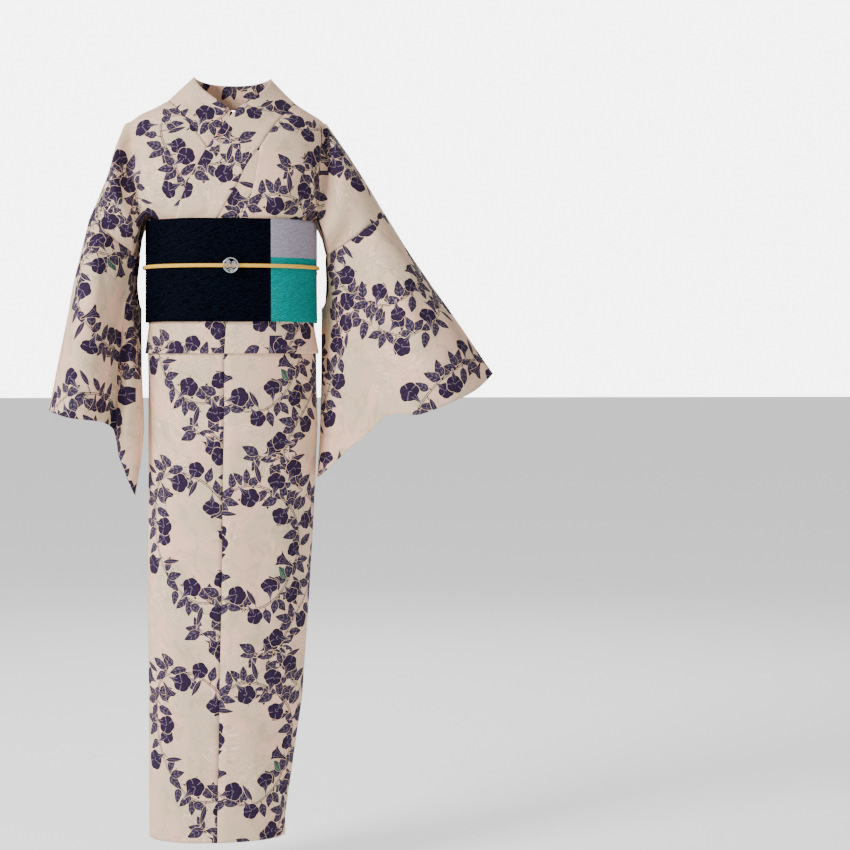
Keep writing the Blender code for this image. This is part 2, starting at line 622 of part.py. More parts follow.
def clasp_piece(mat, collection, cutters):
    """The round openwork clasp on the cord: a disc pierced by a ring of round holes."""
    bpy.ops.mesh.primitive_cylinder_add(vertices=40, radius=CLASP_RADIUS, depth=CLASP_THICKNESS,
                                        location=(CLASP_X, clasp_front_y(), CORD_Z),
                                        rotation=(math.pi / 2, 0, 0))
    disc = bpy.context.object
    disc.name = "obi_clasp"
    disc.data.materials.append(mat)
    move_to(disc, collection)
    bevel = disc.modifiers.new("rim", "BEVEL")
    bevel.width = 0.6 * MM
    bevel.segments = 2
    bevel.limit_method = "ANGLE"
    for k in range(6):
        a = 2 * math.pi * k / 6 + 0.3
        place = (CLASP_X + 0.0078 * math.cos(a), clasp_front_y(), CORD_Z + 0.0078 * math.sin(a))
        bpy.ops.mesh.primitive_cylinder_add(vertices=16, radius=2.2 * MM, depth=4 * CLASP_THICKNESS,
                                            location=place, rotation=(math.pi / 2, 0, 0))
        hole = bpy.context.object
        hole.name = f"clasp_hole_{k + 1}"
        hole.hide_render = True
        hole.display_type = "WIRE"
        move_to(hole, cutters)
        cut = disc.modifiers.new(f"hole {k + 1}", "BOOLEAN")
        cut.object = hole
        cut.operation = "DIFFERENCE"
    return disc


def move_to(piece, collection):
    """Leave every collection and join this one."""
    for old in list(piece.users_collection):
        old.objects.unlink(piece)
    collection.objects.link(piece)


def main():
    for piece in list(bpy.data.objects):
        bpy.data.objects.remove(piece)
    robe = bpy.data.collections.new("yukata_robe")
    cutters = bpy.data.collections.new("cutters")
    bpy.context.scene.collection.children.link(robe)
    bpy.context.scene.collection.children.link(cutters)

    cotton = {}
    for name in ("body_left", "body_right", "okumi_left", "okumi_right", "sleeve_left", "sleeve_right", "collar"):
        cotton[name] = material(name + "_cotton", "cotton", 0.85)
    for side in ("left", "right"):
        upper, front, back = body_piece(side)
        loft_object("body_" + side, upper, WALL, cotton["body_" + side], robe)
        for face, parts in (("front", front), ("back", back)):
            for name, rows in zip(("hip", "leg"), parts):
                loft_object(f"body_{side}_{name}_{face}", rows, WALL, cotton["body_" + side], robe)
        okumi = okumi_piece(side)
        hip, leg = parts_below_tuck(okumi)
        for name, rows in (("", okumi), ("_hip", hip), ("_leg", leg)):
            loft_object(f"okumi_{side}{name}", rows, WALL, cotton["okumi_" + side], robe)
        loft_object("sleeve_" + side, sleeve_piece(side), WALL, cotton["sleeve_" + side], robe, closed=True)
    loft_object("collar", collar_piece(), COLLAR_WALL, cotton["collar"], robe)

    weave = material("obi_weave", "obi", 0.8)
    loft_object("obi_wrap", obi_piece(), OBI_WALL, weave, robe)
    loft_object("obi_knot", knot_piece(), KNOT_WALL, material("obi_knot_weave", "obi", 0.8), robe)
    loft_object("obi_knot_band", knot_band_piece(), KNOT_WALL, material("obi_band_weave", "obi", 0.8), robe)
    tube("obi_cord", cord_route(), CORD_RADIUS, material("cord_braid", "cord", 0.6), robe, cyclic=True)
    clasp_piece(material("clasp_silver", "silver", 0.3, 1.0), robe, cutters)


main()
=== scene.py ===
"""Cotton yukata robe, worn with its belt, cord and clasp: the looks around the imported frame.

The wearer's left is +X and the front faces -Y. Each cloth panel is a fine grid on the form of its CAD
solid, with soft creases added, its own thickness, and the vine print laid out in the cloth's flat sizes.
"""

import logging
import math
from dataclasses import dataclass, field
from enum import Enum, IntEnum
from typing import Callable, Sequence

import bpy
import numpy as np
from bpy.types import ID, Material, Mesh, Node, NodeSocket, NodeTree, Object
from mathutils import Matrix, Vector, noise


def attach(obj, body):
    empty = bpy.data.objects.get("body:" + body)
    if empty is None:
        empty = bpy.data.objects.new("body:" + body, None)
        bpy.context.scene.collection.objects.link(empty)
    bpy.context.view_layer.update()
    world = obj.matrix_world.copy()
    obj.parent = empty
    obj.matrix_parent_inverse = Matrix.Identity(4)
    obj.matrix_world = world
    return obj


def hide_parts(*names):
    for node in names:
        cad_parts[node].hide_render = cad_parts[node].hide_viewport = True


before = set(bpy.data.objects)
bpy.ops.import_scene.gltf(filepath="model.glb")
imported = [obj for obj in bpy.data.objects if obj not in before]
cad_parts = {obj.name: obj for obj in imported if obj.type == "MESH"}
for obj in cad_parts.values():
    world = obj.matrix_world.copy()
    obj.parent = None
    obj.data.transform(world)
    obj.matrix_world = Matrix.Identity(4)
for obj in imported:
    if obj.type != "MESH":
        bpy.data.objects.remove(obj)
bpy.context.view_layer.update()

LOG = logging.getLogger("yukata")

Array = np.ndarray
Pair = tuple[float, float]

MM = 0.001
ROOT = "root"

# Cloth and seams, in metres
COTTON_WALL = 1.0 * MM
COLLAR_WALL = 2.2 * MM
OBI_WALL = 1.1 * MM
SEAM_GAP = 0.3 * MM
LAYER_PITCH = 2.4 * MM  # between two layers of a fold
OVERLAP_LIFT = 8.0 * MM  # how far the left front stands off where it covers the right

# Heights below the neck's base
BELT_TOP = -0.207
BELT_BOTTOM = -0.377
TUCK_BOTTOM = -0.428
TUCK_TOP = -0.345
OKUMI_TUCK_TOP = -0.370
HEM = -1.250

# The figure: one oval ring for each height. Seam_x is where the left okumi meets the left front.
RING_POWER = 2.3
RINGS = [
    # z, half_width, half_depth, centre_x, seam_x
    (-190, 129.0, 93.5, 0, 19),
    (-215, 129.0, 93.0, 0, 14),
    (-300, 129.0, 93.0, 0, 1),
    (-385, 129.5, 93.0, 0, -11),
    (-428, 136.5, 98.0, 1, -14),
    (-550, 138.0, 98.0, 2, -15),
    (-643, 136.0, 94.0, 0, -17),
    (-845, 131.0, 85.0, -7, -20),
    (-1013, 125.0, 79.0, -12, -24),
    (-1170, 113.0, 73.0, -24, -27),
    (-1215, 110.0, 71.0, -27, -28),
]
SIDE_SEAM = math.radians(92)
OUTER_EDGE = math.radians(-80)  # free edge of the left okumi
INNER_SEAM = math.radians(5)  # seam of the right okumi
INNER_EDGE = math.radians(68)  # free edge of the right okumi
LIFT_FULL = (math.radians(-84), math.radians(72))
LIFT_RAMP = math.radians(16)

# Bodice fold lines, each from the shoulder fold to just above the belt.
# Columns: shoulder, collarbone, upper chest, chest, lower chest, blouse, belt edge.
LEFT_FRONT = {
    "neckline": [(104, 10, 0), (100, -30, -12), (72, -75, -47), (46, -100, -86), (39, -111, -128),
        (32, -113, -164), (23, -110, -189)],
    "chest": [(126, 8, -14), (122, -35, -25), (108, -75, -60), (95, -98, -105), (87, -109, -142),
        (83, -108, -170), (81, -103, -190)],
    "beside crease": [(147, 4, -27), (147, -40, -50), (142, -66, -90), (136, -76, -128),
        (132, -78, -157), (128, -77, -178), (122, -71, -193)],
    "arm crease": [(156, -3, -36), (154, -28, -62), (152, -40, -98), (149, -46, -135),
        (146, -50, -166), (142, -51, -187), (136, -48, -195)],
    "arm ridge": [(165, -2, -43), (176, -45, -80), (180, -66, -125), (176, -74, -170),
        (165, -74, -205), (153, -65, -223), (145, -42, -196)],
    "upper arm": [(212, 0, -111), (214, -45, -130), (208, -68, -162), (192, -74, -198),
        (172, -68, -230), (159, -50, -240), (148, -28, -196)],
    "armhole": [(259, 0, -188), (251, -45, -198), (226, -70, -218), (192, -60, -243),
        (171, -44, -255), (160, -28, -256), (149, -12, -196)],
}
LEFT_BACK = {
    "neckline": [(104, 10, 0), (88, 65, 3), (48, 121, 4), (0, 133, 2), (0, 130, -60),
        (0, 117, -130), (0, 103, -190)],
    "shoulder blade": [(126, 8, -14), (118, 60, -15), (90, 105, -25), (55, 122, -42), (45, 124, -90),
        (42, 114, -142), (40, 102, -190)],
    "beside blade": [(147, 4, -27), (145, 52, -35), (130, 88, -55), (108, 104, -82), (90, 108, -120),
        (82, 104, -157), (78, 95, -191)],
    "back crease": [(156, -3, -36), (160, 45, -50), (155, 75, -80), (142, 88, -115), (125, 92, -146),
        (114, 88, -172), (106, 81, -192)],
    "arm back": [(165, -2, -43), (178, 45, -75), (180, 72, -115), (172, 82, -155), (157, 82, -186),
        (143, 74, -200), (130, 63, -194)],
    "upper arm": [(212, 0, -111), (216, 42, -130), (208, 68, -165), (190, 80, -202), (170, 76, -230),
        (157, 58, -232), (145, 38, -195)],
    "armhole": [(259, 0, -188), (253, 40, -199), (232, 66, -220), (203, 78, -245), (178, 72, -257),
        (162, 50, -256), (149, 16, -196)],
}
RIGHT_FRONT = {
    "neckline": [(-106, 10, 1), (-92, -40, -17), (-67, -68, -49), (-40, -83, -87), (-27, -91, -128),
        (-12, -95, -164), (0, -96, -189)],
    "chest": [(-130, 7, -13), (-118, -35, -27), (-100, -68, -62), (-85, -82, -105), (-77, -91, -142),
        (-73, -92, -170), (-71, -90, -190)],
    "beside crease": [(-152, 3, -24), (-150, -38, -45), (-146, -60, -85), (-142, -70, -123),
        (-137, -73, -153), (-131, -71, -176), (-124, -63, -193)],
    "arm crease": [(-170, -3, -38), (-168, -26, -65), (-167, -38, -102), (-163, -45, -140),
        (-155, -48, -168), (-147, -48, -187), (-138, -44, -195)],
    "arm ridge": [(-184, -1, -50), (-192, -42, -85), (-194, -62, -125), (-188, -70, -170),
        (-172, -68, -203), (-157, -56, -218), (-145, -38, -196)],
    "upper arm": [(-206, 0, -122), (-208, -42, -140), (-202, -64, -170), (-190, -68, -203),
        (-173, -60, -230), (-161, -44, -240), (-149, -26, -196)],
    "armhole": [(-240, 0, -202), (-235, -42, -206), (-222, -66, -217), (-198, -64, -238),
        (-176, -50, -253), (-163, -32, -256), (-150, -12, -196)],
}
# Where a control line lies between the inner seam (0) and the side seam (1), below the belt's top.
LINE_SHARE = (0.0, 0.32, 0.53, 0.66, 0.77, 0.88, 1.0)

# Sleeve fold lines after the armhole. Columns: upper sleeve, lower sleeve, cuff.
LEFT_SLEEVE = {
    "top": [(311, -25, -274), (383, -65, -383), (435, -90, -464)],
    "front 1": [(298, -75, -283), (360, -110, -395), (403, -125, -490)],
    "front 2": [(268, -105, -302), (320, -140, -415), (362, -152, -509)],
    "front 3": [(238, -92, -325), (280, -122, -432), (307, -155, -530)],
    "front 4": [(212, -76, -345), (250, -103, -445), (281, -140, -529)],
    "front 5": [(190, -60, -358), (222, -84, -452), (254, -122, -533)],
    "open edge front": [(174, -46, -400), (195, -70, -495), (227, -106, -559)],
    "under front": [(160, -32, -430), (171, -53, -535), (198, -86, -585)],
    "corner": [(151, -6, -445), (148, -26, -550), (143, -50, -638)],
    "under back": [(163, 26, -435), (172, 8, -535), (162, -36, -608)],
    "open edge back": [(180, 62, -402), (205, 38, -502), (207, -82, -572)],
    "back 5": [(196, 76, -375), (235, 46, -486), (250, -102, -531)],
    "back 4": [(228, 72, -355), (272, 36, -460), (294, -62, -524)],
    "back 3": [(262, 52, -332), (312, 14, -438), (338, -38, -510)],
    "back 2": [(295, 28, -303), (352, -8, -408), (386, -50, -494)],
    "back 1": [(315, 5, -284), (378, -38, -390), (424, -70, -475)],
}
LEFT_OPEN_EDGE = [(163, -16, -318), (157, 0, -345), (153, 18, -350), (159, 36, -343), (162, 48, -308)]
RIGHT_SLEEVE = {
    "top": [(-265, -10, -310), (-287, -20, -420), (-306, -30, -524)],
    "front 1": [(-257, -62, -315), (-277, -76, -425), (-292, -84, -529)],
    "front 2": [(-237, -95, -325), (-252, -110, -433), (-264, -114, -536)],
    "front 3": [(-214, -98, -340), (-226, -110, -443), (-232, -108, -540)],
    "front 4": [(-199, -76, -355), (-209, -82, -455), (-212, -76, -545)],
    "front 5": [(-187, -44, -372), (-196, -50, -480), (-197, -48, -560)],
    "open edge front": [(-180, -50, -402), (-187, -60, -500), (-189, -63, -600)],
    "under front": [(-167, -56, -428), (-171, -70, -530), (-180, -68, -624)],
    "corner": [(-153, -30, -450), (-149, -48, -565), (-163, -60, -667)],
    "under back": [(-161, 14, -440), (-164, -2, -550), (-176, -50, -640)],
    "open edge back": [(-176, 50, -395), (-184, 34, -500), (-189, -34, -602)],
    "back 5": [(-184, 66, -375), (-196, 48, -480), (-204, -6, -550)],
    "back 4": [(-202, 78, -365), (-216, 62, -465), (-222, 18, -541)],
    "back 3": [(-226, 82, -345), (-246, 72, -450), (-256, 48, -538)],
    "back 2": [(-248, 68, -325), (-270, 58, -433), (-284, 42, -532)],
    "back 1": [(-260, 40, -314), (-284, 32, -422), (-301, 18, -527)],
}
RIGHT_OPEN_EDGE = [(-166, -20, -318), (-160, -6, -345), (-155, 12, -352), (-159, 34, -343), (-163, 48, -308)]

# Collar from the nape down: its seam beyond the bodice's neckline points, and its free edge.
LEFT_COLLAR_SEAM_LOW = [(23, -111, -120), (8, -114, -151), (-9, -110, -178), (-22, -104.5, -202)]
RIGHT_COLLAR_SEAM_LOW = [(-12, -90, -122), (14, -94, -155), (36, -94.5, -184), (50, -92.5, -204)]
LEFT_COLLAR_EDGE = [(0, 128, 45), (35, 115, 45), (58, 60, 43), (65, 10, 39), (50, -35, 12),
        (3, -68, -28), (-42, -94, -91), (-58, -99, -120), (-74, -101, -150),
        (-86, -95, -180), (-92, -87, -202)]
RIGHT_COLLAR_EDGE = [(0, 128, 45), (-35, 115, 45), (-57, 60, 43), (-63, 10, 41), (-49, -35, 15),
        (1, -59, -27), (33, -71, -70), (52, -77, -98), (72, -80, -128),
        (86, -82, -160), (96, -78, -200)]
# Under the belt the collar follows the ring: z, then x of its seam and of its free edge.
LEFT_COLLAR_UNDER_BELT = [(-222, -35, -100), (-260, -60, -122)]
RIGHT_COLLAR_UNDER_BELT = [(-222, 60, 104), (-260, 82, 118)]

# Belt, its knot, its cord and its clasp
OBI_TURNS = 2
OBI_INNER = 7.4 * MM
OBI_PITCH = 1.6 * MM
KNOT_HALF_WIDTH = 0.138
KNOT_Y = 0.1125
KNOT_PITCH = 3.2 * MM
KNOT_WALL = 1.6 * MM
KNOT_FLARE = 0.012
KNOT_BAND_HALF = 0.042
CORD_RADIUS = 2.6 * MM
CORD_Z = -0.285
CLASP_RADIUS = 0.013
CLASP_THICKNESS = 2.6 * MM
CLASP_X = -0.003
PLAIT_LENGTH = 0.0044  # of one crossing in the braided cord
RIB_PITCH = 0.0039  # between the belt's short ribs

# Where the panels' rows and columns fall
ARMHOLE_END = 5  # the bodice row where the sleeve's seam ends
NAPE_POINTS = 3  # points of the collar seam behind the shoulder
OKUMI_START = 3.2  # the bodice row where the okumi's point begins
SKIRT_TOP = -0.2035  # the first row below the bodice
BEHIND_BELT = -0.372  # the lowest of the wide rows that the belt hides
BEHIND_BELT_STEP = 0.012
TUCK_START = -0.375  # the first of the fine rows that lead into the tuck
SLEEVE_SEAM_COLUMNS = 56  # from the shoulder to the end of the armhole's seam
SLEEVE_OPEN_COLUMNS = 57  # along the edge that hangs free under the arm
SLEEVE_SMOOTHING = 18  # rounds of smoothing along the sleeve's fold lines
SLEEVE_NEAR = 0.35  # where on the fold lines the sleeve's first direction is taken
CLOTH_STEP = 5.5 * MM  # size of a panel's quads
ARMHOLE_GAP = 0.2 * MM  # between the sleeve's first loop and the armhole
UNDER_COLLAR = 1.5 * MM  # between the okumi's edge and the collar, behind the belt

# The middle of the trunk, from which a panel's outward side is told
CHEST_HEIGHT = -0.19  # above it the middle sinks and follows the arms
CHEST_RISE = 0.12
CHEST_DROP = 0.10
ARM_START = 0.12
ARM_REACH = 0.08


# ---- curves and rings

def spline(points: Array, t: float) -> Array:
    """Point at parameter t on a smooth curve through every one of the points.

    Args:
        points: The points in order, or a list of numbers.
        t: Position, where each whole number is one of the points.

    Returns:
        The point on the curve.
    """
    last = len(points) - 1
    i = min(int(math.floor(t)), last - 1)
    u = t - i
    p1, p2 = points[i], points[i + 1]
    p0 = points[i - 1] if i > 0 else 2 * p1 - p2
    p3 = points[i + 2] if i + 2 <= last else 2 * p2 - p1
    return 0.5 * (2 * p1 + (p2 - p0) * u + (2 * p0 - 5 * p1 + 4 * p2 - p3) * u ** 2
                  + (3 * p1 - p0 - 3 * p2 + p3) * u ** 3)


def loop_spline(points: Sequence[Array], t: float) -> Array:
    """Point on a smooth closed curve through the points."""
    count = len(points)
    wrapped = [points[(int(math.floor(t)) + k) % count] for k in (-1, 0, 1, 2)]
    return spline(wrapped, 1 + t - math.floor(t))


def table(rows: Sequence[Sequence[float]]) -> Array:
    """A table in millimetres as an array in metres."""
    return np.array(rows, dtype=float) * MM


RING_ROWS = table(RINGS)[::-1]


def ring_sizes(z: float) -> list[float]:
    """Half width, half depth, centre x and okumi seam x of the figure's ring at height z."""
    return [float(np.interp(z, RING_ROWS[:, 0], RING_ROWS[:, k])) for k in range(1, 5)]


def lift(phi: Array) -> Array:
    """How far the left front stands off, rising smoothly onto the right front."""
    phi = np.asarray(phi, dtype=float)
    outside = np.maximum(np.maximum(LIFT_FULL[0] - phi, phi - LIFT_FULL[1]), 0.0)
    share = np.maximum(0.0, 1.0 - outside / LIFT_RAMP)
    return OVERLAP_LIFT * share * share * (3 - 2 * share)


def ring_row(phi: Array, z: float, out: Array | float) -> Array:
    """Points on the oval at height z.

    Args:
        phi: Angles in radians; 0 is the front and a quarter turn is +X.
        z: Height in metres.
        out: Stand-off from the oval, one for all or one for each angle.

    Returns:
        An array with a row for each angle.
    """
    half_width, half_depth, centre, _ = ring_sizes(z)
    phi = np.asarray(phi, dtype=float)
    s, c = np.sin(phi), np.cos(phi)
    x = centre + (half_width + out) * np.sign(s) * np.abs(s) ** (2 / RING_POWER)
    y = -(half_depth + out) * np.sign(c) * np.abs(c) ** (2 / RING_POWER)
    return np.stack([x, y, np.full_like(x, z)], axis=-1)


def ring_point(phi: float, z: float, out: float) -> Array:
    """One point on the oval at height z."""
    return ring_row(np.array([phi]), z, out)[0]


def ring_angle(x: float, z: float, out: float) -> float:
    """The front angle at which the oval passes x."""
    half_width, _, centre, _ = ring_sizes(z)
    s = max(-1.0, min(1.0, (x - centre) / (half_width + out)))
    return math.asin(math.copysign(abs(s) ** (RING_POWER / 2), s))


def left_seam(z: float, out: float) -> float:
    """Angle of the seam between the left front and the left okumi."""
    return ring_angle(ring_sizes(z)[3], z, out + OVERLAP_LIFT)


def belt_angle(phi: float) -> float:
    """The same angle brought between -180 and 180 degrees."""
    return (phi + math.pi) % (2 * math.pi) - math.pi


def half_turn(z: float, out: float, way: int, points: int = 7) -> list[Pair]:
    """Points round a fold, from one layer to the next one inside it."""
    radius = LAYER_PITCH / 2
    return [(z + way * radius * math.sin(a), out - radius + radius * math.cos(a))
            for a in np.linspace(0, math.pi, points)]


def skirt_profile(tuck_top: float) -> list[Pair]:
    """Rows below the belt's top: down, back up in the tuck, then down to the hem.

    Args:
        tuck_top: Height of the fold inside the tuck.

    Returns:
        Height and stand-off of each row.
    """
    outer, middle = 2 * LAYER_PITCH, LAYER_PITCH
    rows = [(z, outer) for z in np.arange(SKIRT_TOP, BEHIND_BELT, -BEHIND_BELT_STEP)]
    rows += [(z, outer) for z in np.linspace(TUCK_START, TUCK_BOTTOM + 0.003, 11)]
    rows += half_turn(TUCK_BOTTOM, outer, -1)
    rows += [(z, middle) for z in np.linspace(TUCK_BOTTOM + 0.008, tuck_top - 0.008, 6)]
    rows += half_turn(tuck_top, middle, 1)
    rows += [(z, 0.0) for z in np.linspace(tuck_top - 0.010, TUCK_BOTTOM, 7)[:-1]]
    below = int(round((TUCK_BOTTOM - HEM) / CLOTH_STEP))
    rows += [(z, 0.0) for z in np.linspace(TUCK_BOTTOM, HEM, below)]
    return rows


def pull_in(row: Array, end: int, amount: float) -> None:
    """Move a row's end towards its neighbour, which leaves half of a seam's gap."""
    way = row[1 if end == 0 else -2] - row[end]
    length = np.linalg.norm(way)
    row[end] = row[end] + way * (min(amount, 0.6 * length) / max(length, 1e-9))


def seam_room(way: Array, other_way: Array, other_wall: float) -> float:
    """Half a seam's gap, and more where the two walls leave the seam at an angle."""
    turn = np.linalg.norm(np.cross(way, other_way)) / (np.linalg.norm(way) * np.linalg.norm(other_way))
    return SEAM_GAP / 2 + turn * (other_wall / 2 + SEAM_GAP)


# ---- forms of the robe's panels

class Side(Enum):
    """The wearer's left, which lies over, and right, which lies under."""

    LEFT = "left"
    RIGHT = "right"

    @property
    def over(self) -> bool:
        """Whether this side's front lies over the other's."""
        return self is Side.LEFT


@dataclass(frozen=True)
class BodiceForm:
    """Fold lines of one half of the robe, and the lines where its pieces meet."""

    side: Side
    row_steps: Array = field(default_factory=lambda: np.linspace(0, 6, 46))
    column_steps: Array = field(default_factory=lambda: np.linspace(0, 6, 43))

    def front(self) -> list[Array]:
        """Fold lines of the front, from the neckline to the armhole."""
        lines = LEFT_FRONT if self.side.over else RIGHT_FRONT
        return [table(line) for line in lines.values()]

    def back(self) -> list[Array]:
        """Fold lines of the back, mirrored on the right.

        Returns:
            The lines; the right ones are drawn in to the right shoulder's own line.
        """
        lines = [table(line) for line in LEFT_BACK.values()]
        if self.side.over:
            return lines
        mirror = np.array((-1, 1, 1))
        fade = np.linspace(1, 0, len(lines[0]))[:, None]
        return [line * mirror + fade * (front[0] - line[0] * mirror)
                for line, front in zip(lines, self.front())]

    def collar_seam(self) -> Array:
        """The line that joins the collar to the robe."""
        low = LEFT_COLLAR_SEAM_LOW if self.side.over else RIGHT_COLLAR_SEAM_LOW
        back = self.back()[0][3:0:-1]
        return np.concatenate([back, self.front()[0][:4], table(low)])

    def collar_half(self) -> tuple[list[Array], list[Array]]:
        """Half the collar, from the nape to its end under the belt.

        Returns:
            The points of its seam line and of its free edge.
        """
        edge = table(LEFT_COLLAR_EDGE if self.side.over else RIGHT_COLLAR_EDGE)
        under = LEFT_COLLAR_UNDER_BELT if self.side.over else RIGHT_COLLAR_UNDER_BELT
        stand = 2 * LAYER_PITCH + (OVERLAP_LIFT if self.side.over else 0.0)
        seams, edges = list(self.collar_seam()), list(edge)
        for z, seam_x, edge_x in table(under):
            seams.append(ring_point(ring_angle(seam_x, z, stand), z, stand))
            edges.append(ring_point(ring_angle(edge_x, z, stand), z, stand))
        return seams, edges

    def collar_way(self, t: float) -> Array:
        """Direction in which the collar leaves its seam, t points down from the nape."""
        seams, edges = self.collar_half()
        return spline(edges, t) - spline(seams, t)

    def sleeve_lines(self) -> tuple[Array, Array, list[Array]]:
        """The lines that the sleeve hangs from and follows.

        Returns:
            The armhole's front and back lines, and the sleeve's fold lines from it to the cuff.
        """
        front, back = self.front()[-1], self.back()[-1]
        over = self.side.over
        hanging = table(LEFT_OPEN_EDGE if over else RIGHT_OPEN_EDGE)
        armhole = [*front[:ARMHOLE_END + 1], *hanging, *back[ARMHOLE_END:0:-1]]
        folds = (LEFT_SLEEVE if over else RIGHT_SLEEVE).values()
        return front, back, [np.concatenate([[start], table(line)]) for start, line in zip(armhole, folds)]

    def sleeve_way(self, t: float, behind: bool) -> Array:
        """Direction in which the sleeve leaves the armhole."""
        _, _, lines = self.sleeve_lines()
        u = len(lines) - t if behind and t > 0 else t
        near = [loop_spline([spline(line, v) for line in lines], u) for v in (0, SLEEVE_NEAR)]
        return near[1] - near[0]

    def net(self, lines: list[Array], neck: Callable[[float], Array]) -> list[Array]:
        """Rows of points from the shoulder to the belt.

        Args:
            lines: The fold lines from the neckline to the armhole.
            neck: The neck's curve as far as the collar goes.

        Returns:
            One array of points for each row step.
        """
        rows = []
        for t in self.row_steps:
            controls = [spline(line, t) for line in lines]
            low = t - NAPE_POINTS
            controls[0] = neck(t) if low <= 0 else spline(lines[0][NAPE_POINTS:], low)
            rows.append(np.array([spline(controls, u) for u in self.column_steps]))
        return rows

    def skirt(self, inner: Callable[[float, float], float], side: float, over: bool) -> list[Array]:
        """Rows of points from the belt's top to the hem, between an inner seam and the side seam.

        Args:
            inner: Gives the inner seam's angle from a height and a stand-off.
            side: The side seam's angle.
            over: Whether the cloth stands off to lie over the other front.

        Returns:
            One array of points for each row.
        """
        shares = np.array([spline(LINE_SHARE, u) for u in self.column_steps])
        rows = []
        for z, out in skirt_profile(TUCK_TOP):
            start = inner(z, out)
            angles = start + shares * (side - start)
            rows.append(ring_row(angles, z, out + (lift(angles) if over else 0.0)))
        return rows

    def body(self) -> list[Array]:
        """The body panel.

        Returns:
            Its rows from the front hem over the shoulder to the back hem.
        """
        seam = self.collar_seam()
        front_rows = self.net(self.front(), lambda t: spline(seam, NAPE_POINTS + t))
        back_rows = self.net(self.back(), lambda t: spline(seam, NAPE_POINTS - t))
        for rows, behind in ((front_rows, False), (back_rows, True)):
            for t, row in zip(self.row_steps, rows):
                room = neck_room = SEAM_GAP / 2
                if t <= NAPE_POINTS:
                    along = NAPE_POINTS - t if behind else NAPE_POINTS + t
                    neck_room = seam_room(row[1] - row[0], self.collar_way(along), COLLAR_WALL)
                if t <= ARMHOLE_END:
                    room = seam_room(row[-2] - row[-1], self.sleeve_way(t, behind), COTTON_WALL)
                pull_in(row, 0, neck_room)
                pull_in(row, -1, room)
        way = 1 if self.side.over else -1
        inner = left_seam if self.side.over else (lambda z, out: INNER_SEAM)
        skirt_front = self.skirt(inner, way * SIDE_SEAM, self.side.over)
        skirt_back = self.skirt(lambda z, out: way * math.pi, way * SIDE_SEAM, False)
        for row in skirt_front + skirt_back:
            pull_in(row, 0, SEAM_GAP / 2)
            pull_in(row, -1, SEAM_GAP / 2)
        return skirt_front[::-1] + front_rows[::-1] + back_rows[1:] + skirt_back

    def okumi(self, columns: int = 29) -> list[Array]:
        """The narrow front panel between the collar and the body.

        Args:
            columns: Points in each row.

        Returns:
            Its rows from its point down to the hem.
        """
        over = self.side.over
        steps = np.linspace(0, 1, columns)[:, None]
        seam = self.collar_seam()
        inner = self.front()[0]
        free = OUTER_EDGE if over else INNER_EDGE
        stand = OVERLAP_LIFT if over else 0.0
        rows = []
        for t in self.row_steps[self.row_steps >= OKUMI_START]:
            along = NAPE_POINTS + 3 + (t - 3) * 4 / 3
            edge = spline(seam, along)
            fold = spline(inner[NAPE_POINTS:], t - NAPE_POINTS)
            row = edge + (fold - edge) * steps
            pull_in(row, 0, seam_room(fold - edge, self.collar_way(along), COLLAR_WALL))
            rows.append(row)
        low, _ = self.collar_half()
        slope = (low[-1][0] - seam[-1][0]) / (low[-1][2] - seam[-1][2])
        along_collar = True
        for z, out in skirt_profile(OKUMI_TUCK_TOP):
            start = free
            along_collar = along_collar and out > 1.9 * LAYER_PITCH and z > BEHIND_BELT
            if along_collar:
                x = seam[-1][0] + slope * (z - seam[-1][2])
                start = ring_angle(x, z, out + stand)
                start = max(free, start) if over else min(free, start)
            end = left_seam(z, out) if over else INNER_SEAM
            row = ring_row(start + steps[:, 0] * (end - start), z, out + stand)
            pull_in(row, 0, UNDER_COLLAR if along_collar else 0.0)
            rows.append(row)
        for row in rows:
            pull_in(row, -1, SEAM_GAP / 2)
        return rows

    def sleeve(self, rows: int = 62) -> list[Array]:
        """The sleeve as loops that start and end at its lower seam.

        Args:
            rows: How many loops.

        Returns:
            The loops from the armhole to the cuff.
        """
        front, back, lines = self.sleeve_lines()
        count = len(lines)
        seam = list(np.linspace(0, ARMHOLE_END, SLEEVE_SEAM_COLUMNS))
        hanging = list(np.linspace(ARMHOLE_END, count - ARMHOLE_END, SLEEVE_OPEN_COLUMNS))[1:-1]
        around = seam + hanging + [count - t for t in seam[:0:-1]]
        net = [np.array([loop_spline([spline(line, t) for line in lines], u) for u in around])
               for t in np.linspace(0, 3, rows)]
        for c, u in enumerate(around):
            if u <= ARMHOLE_END:
                net[0][c] = spline(front, u)
            elif u >= count - ARMHOLE_END:
                net[0][c] = spline(back, count - u)
            way = net[1][c] - net[0][c]
            net[0][c] = net[0][c] + way * (ARMHOLE_GAP / np.linalg.norm(way))
        for _ in range(SLEEVE_SMOOTHING):
            net[2:-1] = [net[r] * 0.5 + (net[r - 1] + net[r + 1]) * 0.25 for r in range(2, rows - 1)]
        start = int(np.argmin(np.abs(np.array(around) - count / 2)))
        loop = list(range(start, len(around))) + list(range(0, start + 1))
        return [row[loop] for row in net]


def collar_rows(columns: int = 13, count: int = 260) -> list[Array]:
    """The collar in one strip: left end, nape, right end.

    Args:
        columns: Points in each row.
        count: How many rows.

    Returns:
        The rows, each from the collar's seam to its free edge.
    """
    left_seams, left_edges = BodiceForm(Side.LEFT).collar_half()
    right_seams, right_edges = BodiceForm(Side.RIGHT).collar_half()
    seams = left_seams[:0:-1] + right_seams
    edges = left_edges[:0:-1] + right_edges
    steps = np.linspace(0, 1, columns)[:, None]
    rows = []
    for t in np.linspace(0, len(seams) - 1, count):
        seam, edge = spline(seams, t), spline(edges, t)
        row = seam + (edge - seam) * steps
        pull_in(row, 0, SEAM_GAP / 2)
        rows.append(row)
    return rows


# ---- creases

